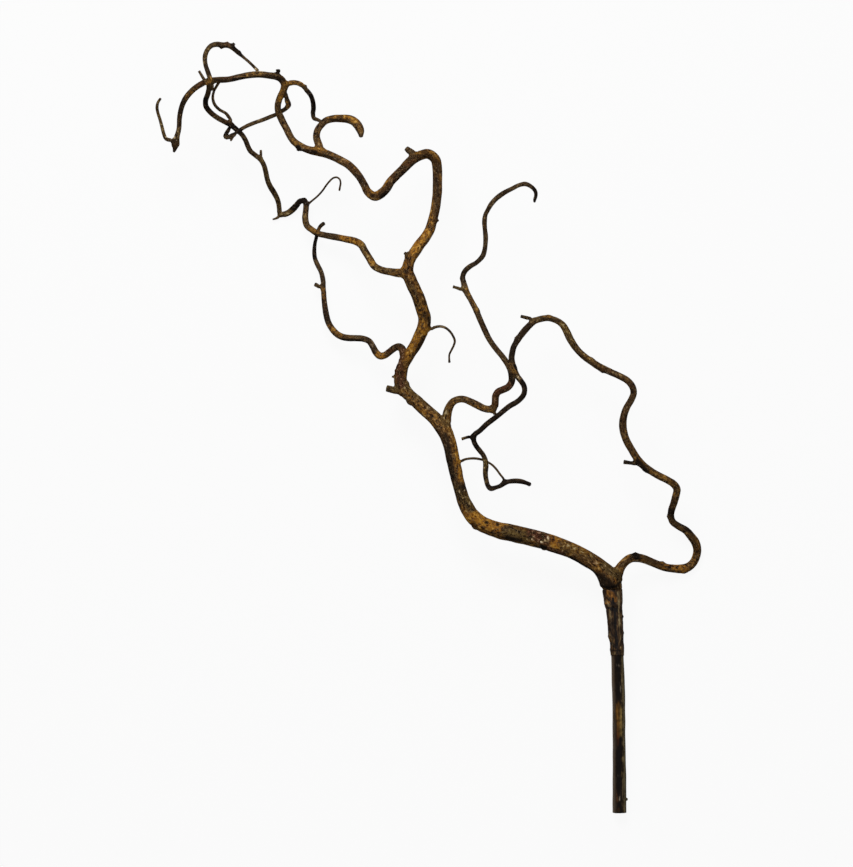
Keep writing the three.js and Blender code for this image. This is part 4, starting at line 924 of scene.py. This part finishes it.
def makeBarkMaterial():
    # Dried willow bark, thin and unpeeled: ochre skin flecked with near-black, pale threads in the dark
    # parts, fine lengthwise wrinkles and almost no shine.
    look, tones = barkLook, barkLook["tones"]
    material, tree, shader = newMaterial("driedWillowBark", look["shader"])
    grain = addNode(tree, "ShaderNodeAttribute", {"attribute_name": "barkGrain"}, "Vector")
    patches, flecks, streaks, rust, wander = (
        surfacePattern(tree, grain, *look[name], look["patternRoughness"])
        for name in ("patches", "flecks", "streaks", "rust", "threads")
    )
    mottle = plusShares(tree, flecks, [(look["streakShare"], streaks), (look["patchShare"], patches)])
    level = addNode(tree, "ShaderNodeMapRange", {"Value": mottle, **look["levels"]})

    colour = addNode(tree, "ShaderNodeValToRGB", {"stops": tones["plain"], 0: level})
    # rusty islands, a few mm across, where the grey outer skin has worn through
    worn = addNode(tree, "ShaderNodeMapRange", {"Value": rust, **look["rustRange"]})
    rusty = addNode(tree, "ShaderNodeValToRGB", {"stops": tones["golden"], 0: level})
    colour = addNode(tree, "ShaderNodeMix", {"data_type": "RGBA", 0: worn, 6: colour, 7: rusty}, 2)
    # the greyer skin of the thin limbs, which has no rust yet
    thin = addNode(tree, "ShaderNodeAttribute", {"attribute_name": "thinLimb"}, "Fac")
    young = addNode(tree, "ShaderNodeValToRGB", {"stops": tones["young"], 0: level})
    colour = addNode(tree, "ShaderNodeMix", {"data_type": "RGBA", 0: thin, 6: colour, 7: young}, 2)
    # pale threads under 1 mm wide wander over the darker parts
    settings = {"operation": "COMPARE", 0: wander, 1: 0.5, 2: look["threadWidth"]}
    onThread = addNode(tree, "ShaderNodeMath", settings)
    inDark = addNode(tree, "ShaderNodeMapRange", {"Value": level, **look["threadRange"]})
    threads = addNode(tree, "ShaderNodeMath", {"operation": "MULTIPLY", 0: onThread, 1: inDark})

    for tone in ("golden", "olive", "red", "umber", "threads", "dark", "pale"):
        if tone == "threads":
            settings = {"data_type": "RGBA", 0: threads, 6: colour, 7: linear(look["threadColour"])}
            colour = addNode(tree, "ShaderNodeMix", settings, 2)
        else:
            tint = addNode(tree, "ShaderNodeValToRGB", {"stops": tones[tone], 0: level})
            colour = layTone(tree, colour, tint, tone + "Bark", flecks, look["cover"])
    tree.links.new(colour, shader.inputs["Base Color"])

    roughness = addNode(tree, "ShaderNodeMapRange", {"Value": level, **look["roughness"]})
    tree.links.new(roughness, shader.inputs["Roughness"])
    relief = plusShares(tree, flecks, zip(look["reliefShares"], (streaks, threads)))
    addRelief(tree, shader, relief, look)
    return material


# The stem's smooth bark: its colours from one flank over the top to the other, which paint a sheen on both
# flanks and shade at the right edge, and its stains and painted glints.
stemLook = {
    "shader": {"IOR": 1.46, "Specular IOR Level": 0.12, "Roughness": 0.6},
    "streaks": (1.4, 0.09, 3.0, 0.3),
    "clouds": (6, 1, 3.0, 0.5),
    "drift": 0.3,  # how far the patterns push the colours round the stem
    "depth": {"From Min": 0.7, "From Max": 1.3, "To Min": 0.4, "To Max": 1.7},
    "stainStretch": 4,  # how much further a stain fades along the stem than across it
    "cover": {"marks": 1.0, "pattern": 0.8, "range": (0.9, 2.0)},
    "reliefStrength": 0.3,
    "reliefHeight": 0.2,
    # from the left flank over the top to the right one: the grey flanks are a painted sheen, the darker
    # right edge is painted shade
    "across": [
        (0.0, "#75685c"), (0.09, "#584c40"), (0.2, "#392e23"), (0.32, "#1b110a"), (0.5, "#0c0603"),
        (0.66, "#120b06"), (0.77, "#2b2115"), (0.86, "#564a32"), (0.93, "#5d5239"), (1.0, "#3c3828"),
    ],
    "stains": {
        # pale is the colour of the painted glints
        "golden": "#583a11", "olive": "#7d6738", "red": "#421f09", "dark": "#060302", "pale": "#8b7e6c",
    },
}


def makeStemMaterial():
    # A bought willow stick: smooth thin bark, nearly black on top, with a painted sheen that greys its
    # flanks, painted shade at its right edge and a faint satin sheen from the shader.
    look = stemLook
    material, tree, shader = newMaterial("smoothWillowBark", look["shader"])
    grain = addNode(tree, "ShaderNodeAttribute", {"attribute_name": "barkGrain"}, "Vector")
    streaks, clouds = (surfacePattern(tree, grain, *look[name]) for name in ("streaks", "clouds"))
    mottle = addNode(tree, "ShaderNodeMath", {"operation": "ADD", 0: streaks, 1: clouds})
    # the place across the stem in the view; the ramp below paints the flanks' sheen and the right edge's
    # shade into the colour
    side = addNode(tree, "ShaderNodeAttribute", {"attribute_name": "stemSide"}, "Fac")
    settings = {"operation": "MULTIPLY_ADD", 0: mottle, 1: look["drift"], 2: -look["drift"]}
    drift = addNode(tree, "ShaderNodeMath", settings)
    wavering = addNode(tree, "ShaderNodeMath", {"operation": "ADD", 0: side, 1: drift})
    colour = addNode(tree, "ShaderNodeValToRGB", {"stops": look["across"], 0: wavering})
    for tone, stain in look["stains"].items():
        colour = layTone(tree, colour, linear(stain), tone + "Bark", mottle, look["cover"])
    depth = addNode(tree, "ShaderNodeMapRange", {"Value": mottle, **look["depth"]})
    shaded = addNode(tree, "ShaderNodeVectorMath", {"operation": "SCALE", 0: colour, "Scale": depth})
    tree.links.new(shaded, shader.inputs["Base Color"])
    addRelief(tree, shader, streaks, look)
    return material


def makeStem():
    shape = stemShape
    places, faces, rings = limbSurface(shape["route"], shape["sides"], shape["spacing"], shape["endDome"])
    stem = meshObject("stem", places, faces)
    knots = []
    for number, points in enumerate(shape["knots"]):
        places, faces, _ = limbSurface(points, shape["knotSides"], shape["knotSpacing"], shape["knotDome"])
        knots.append(meshObject(f"knot{number}", places, faces))
    combine(stem, knots, "UNION")
    stem.name = "bareStem"
    places = meshPlaces(stem)
    owner, ring, _, _ = nearLimbs(places, [rings])
    grain = grainPlaces(places, [rings], ring, owner)
    radius = rings["radius"][ring]
    flank = np.linalg.norm(grain[:, :2], axis=1) > shape["flankFrom"] * radius
    relief = noiseAt(grain, shape["wrinkleSize"]) * shape["wrinkleHeight"]
    relief += noiseAt(grain, shape["lumpSize"]) * shape["lumpHeight"]
    free = ease((shape["wrapEnds"] - places[:, 1]) / shape["reliefStarts"])
    places = places + meshNormals(stem) * (relief * flank * free)[:, None]
    places[:, 2] = np.maximum(places[:, 2], 0)
    setPlaces(stem, places)
    storeValues(stem, "barkGrain", grain * drawing["unit"])
    # each point's place across the stem in the view, from the left flank to the right, which sets the
    # painted sheen and shade
    route = np.array(shape["route"])[::-1]
    middle = np.interp(places[:, 1], route[:, 1], route[:, 0])
    storeValues(stem, "stemSide", np.clip(0.5 + 0.5 * (places[:, 0] - middle) / radius, 0, 1))
    storeMarks(stem, places, stemMarks, "Bark", stemLook["stainStretch"])
    return stem


def pieceAt(points, y):
    # where a straight piece is at a given y, between its nearest points
    table = np.array(points, float)[::-1]
    x, z, width = (float(np.interp(y, table[:, 1], table[:, k])) for k in (0, 2, 3))
    return x, z, float(overBark(width))


def wrapRing(y, inside):
    # a sleeve round the stem and the tail beside it, drawn in between them where they part
    tape = stemWrap
    stemX, stemZ, stemWidth = pieceAt(stemShape["route"], y)
    tailX, tailZ, tailWidth = pieceAt(curlyBranch["tail"], y)
    tailWidth *= float(np.clip((y - tape["tailEnds"]) / (tape["tailStarts"] - tape["tailEnds"]), 0, 1))
    turns = np.arange(tape["sides"]) * 2 * math.pi / tape["sides"]
    rays = np.stack([np.cos(turns), np.sin(turns)], axis=1)
    share = tape["middleShare"]
    middle = np.array([stemX + share * (tailX - stemX), stemZ + share * (tailZ - stemZ)])
    reach = []
    for x, z, width in ((stemX, stemZ, stemWidth), (tailX, tailZ, tailWidth)):
        radius = width / 2 + tape["clearance"]
        offset = np.array([x, z]) - middle
        ahead = rays @ offset
        inner = radius**2 - (offset @ offset - ahead**2)
        reach.append(np.where(inner > 0, ahead + np.sqrt(np.maximum(inner, 0)), 0))
    slant = np.where(np.sin(turns) > 0, -np.cos(turns), np.cos(turns)) * tape["slant"]
    softness = tape["tierSlope"] + tape["fadedEdge"] * np.maximum(np.cos(turns), 0)
    upper = ease((y - tape["tierSlant"] * slant - tape["tierEnds"]) / softness) * (not inside)
    blend = tape["groove"] + tape["bridge"] * upper
    near, far = reach
    mix = np.clip(0.5 + 0.5 * (near - far) / blend, 0, 1)
    size = far + (near - far) * mix + blend * mix * (1 - mix) * tape["bridgeFill"]
    if not inside:
        size = size + tapeRelief(y, turns, rays, slant, upper)
    ring = middle + rays * size[:, None]
    rise = ease(1 + (y - tape["top"]) / tape["riseReach"]) * ease(np.cos(turns) * tape["riseSharpness"])
    return np.stack([ring[:, 0], y + tape["topRise"] * rise, ring[:, 1]], axis=1)


def tapeRelief(y, turns, rays, slant, upper):
    # tape laid in slanting turns: every turn starts with a raised edge and thins out
    tape, thinnest = stemWrap, stemWrap["thinnest"]
    turn = ((y - slant) / tape["turn"]) % 1.0
    edge = tape["lapHeight"] * ease(turn / tape["lapEdge"]) * (thinnest + (1 - thinnest) * turn)
    rolled = ease((tape["top"] - y + tape["rimLift"]) / tape["rolledEdge"])
    across, length = tape["creasesAcross"], tape["creaseLength"]
    creases = np.array([noise.noise(Vector((x * across, z * across, y / length))) for x, z in rays])
    foot = thinnest + (1 - thinnest) * ease((y - tape["bottom"]) / tape["footFade"])
    relief = (tape["thickness"] + edge + tape["creaseHeight"] * creases) * foot
    relief += tape["upperTier"] * upper * rolled
    for down, side, height, width in tape["nubs"]:
        swell = math.exp(-(((drawing["viewCorner"][1] - down - y) / width) ** 2))
        facing = np.maximum(np.cos(turns - math.radians(side)), 0)
        relief += height * swell * facing ** tape["nubSharpness"]
    return relief


def makeWrap():
    heights = np.arange(stemWrap["top"], stemWrap["bottom"], -stemWrap["spacing"])
    rings = [wrapRing(y, False) for y in heights] + [wrapRing(y, True) for y in heights[::-1]]
    sides = stemWrap["sides"]
    faces = bridgeRings(len(rings), sides)
    last = (len(rings) - 1) * sides
    faces += [(last + a, last + (a + 1) % sides, (a + 1) % sides, a) for a in range(sides)]
    wrap = meshObject("tapeWrap", np.vstack(rings), faces)
    places = meshPlaces(wrap)
    turns = np.tile(np.arange(sides) * 2 * math.pi / sides, len(rings))
    radius = stemWrap["grainRadius"]
    grain = np.stack([radius * np.cos(turns), radius * np.sin(turns), places[:, 1]], axis=1)
    storeValues(wrap, "tapeGrain", grain * drawing["unit"])
    storeMarks(wrap, places, wrapMarks, "Tape")
    return wrap


# The tape's crepe and its stains, in mm, and its colours; the dark and pale tones colour the painted shade
# and painted highlights of the marks.
tapeLook = {
    "shader": {"IOR": 1.44, "Specular IOR Level": 0.2, "Roughness": 0.5},
    "stains": (3.4, 0.3, 4.0, 0.7),
    "crepe": (0.9, 0.3, 3.0, 0.0),
    "crepeShare": 0.5,
    "levels": {"From Min": 0.55, "From Max": 0.98},
    "cover": {"marks": 1.6, "pattern": 1.3, "range": (1.1, 1.8)},
    "reliefStrength": 0.5,
    "reliefHeight": 0.25,
    "tones": {
        "plain": [(0.0, "#100905"), (0.4, "#2b1c10"), (0.75, "#503a21"), (1.0, "#77603c")],
        "golden": [(0.0, "#241205"), (0.4, "#5c3911"), (0.75, "#8a5b20"), (1.0, "#a67e45")],
        # dark colours the painted shade, pale the painted highlights
        "dark": [(0.0, "#040202"), (0.5, "#0e0806"), (0.8, "#1f150e"), (1.0, "#43321f")],
        "pale": [(0.0, "#2c2015"), (0.4, "#574630"), (0.75, "#7d6b49"), (1.0, "#a89876")],
    },
}


def makeTapeMaterial():
    # Waxed crepe tape pulled tight: smooth and faintly shiny, creased along the stem, stained with bark in
    # orange patches, with painted shade in its groove and under its edges and painted highlights along its
    # ridges.
    look = tapeLook
    material, tree, shader = newMaterial("waxedCrepeTape", look["shader"])
    grain = addNode(tree, "ShaderNodeAttribute", {"attribute_name": "tapeGrain"}, "Vector")
    stains, crepe = (surfacePattern(tree, grain, *look[name]) for name in ("stains", "crepe"))
    mottle = plusShares(tree, stains, [(look["crepeShare"], crepe)])
    level = addNode(tree, "ShaderNodeMapRange", {"Value": mottle, **look["levels"]})
    colour = addNode(tree, "ShaderNodeValToRGB", {"stops": look["tones"]["plain"], 0: level})
    for tone in wrapMarks:
        tint = addNode(tree, "ShaderNodeValToRGB", {"stops": look["tones"][tone], 0: level})
        colour = layTone(tree, colour, tint, tone + "Tape", stains, look["cover"])
    tree.links.new(colour, shader.inputs["Base Color"])
    addRelief(tree, shader, crepe, look)
    return material


# A glowing white shooting table, and soft light from above and a little beyond the branch's tip.
studio = {
    "middle": (-0.0019, -0.0061),  # metres, the middle of the view
    "height": 2.0,
    "across": 0.867,  # metres, the long side of the view
    "tableSize": 30.0,
    # opal acrylic lit from below, which stays an even white with hardly a shadow on it
    "table": {
        "Base Color": linear("#383838"),
        "Roughness": 1.0,
        "Specular IOR Level": 0.0,
        "Emission Color": linear("#ffffff"),
        "Emission Strength": 0.925,
    },
    "airColour": "#ffffff",
    "airStrength": 0.2,
    "backdropStrength": 0.96,
    "lights": {
        "softKey": {"place": (-0.35, 1.55, 1.85), "size": 1.2, "watts": 58},
        "softFill": {"place": (0.5, -0.6, 2.2), "size": 1.6, "watts": 8},
    },
}


def makeStudio():
    scene = bpy.context.scene
    scene.view_settings.view_transform = "Standard"
    camera = bpy.data.objects.new("camera", bpy.data.cameras.new("camera"))
    camera.data.type = "ORTHO"
    camera.data.ortho_scale = studio["across"]
    camera.location = (*studio["middle"], studio["height"])
    scene.collection.objects.link(camera)
    scene.camera = camera

    world = bpy.data.worlds.new("studioAir")
    world.use_nodes = True
    tree = world.node_tree
    white = linear(studio["airColour"])
    air = addNode(tree, "ShaderNodeBackground", {"Color": white, "Strength": studio["airStrength"]})
    # past the table's edge the backdrop is as pale as the table, and lights nothing
    settings = {"Color": white, "Strength": studio["backdropStrength"]}
    backdrop = addNode(tree, "ShaderNodeBackground", settings)
    seen = addNode(tree, "ShaderNodeLightPath", {}, "Is Camera Ray")
    mixed = addNode(tree, "ShaderNodeMixShader", {0: seen, 1: air, 2: backdrop})
    tree.links.new(mixed, tree.nodes["World Output"].inputs["Surface"])
    scene.world = world

    for name, light in studio["lights"].items():
        lamp = bpy.data.objects.new(name, bpy.data.lights.new(name, "AREA"))
        lamp.data.size = light["size"]
        lamp.data.energy = light["watts"]
        lamp.location = light["place"]
        lamp.rotation_euler = (-Vector(light["place"])).to_track_quat("-Z", "Y").to_euler()
        scene.collection.objects.link(lamp)

    half = studio["tableSize"] / 2
    mesh = bpy.data.meshes.new("shootingTable")
    corners = [(-half, -half, 0), (half, -half, 0), (half, half, 0), (-half, half, 0)]
    mesh.from_pydata(corners, [], [(0, 1, 2, 3)])
    table = bpy.data.objects.new("shootingTable", mesh)
    scene.collection.objects.link(table)
    mesh.materials.append(newMaterial("backlitOpalAcrylic", studio["table"])[0])
    # the glow is kept off the bark, so that the limbs keep their dark edges
    table.visible_diffuse = False
    table.visible_glossy = False
    table.visible_shadow = False


branch = makeBranch()
finishPiece(branch, makeBarkMaterial(), "curly_branch")
print("branch made:", len(branch.data.polygons), "faces")
stem = makeStem()
finishPiece(stem, makeStemMaterial(), "straight_stem")
print("stem made:", len(stem.data.polygons), "faces")
wrap = makeWrap()
finishPiece(wrap, makeTapeMaterial(), "stem_wrap")
print("wrap made:", len(wrap.data.polygons), "faces")
makeStudio()
print("studio made")
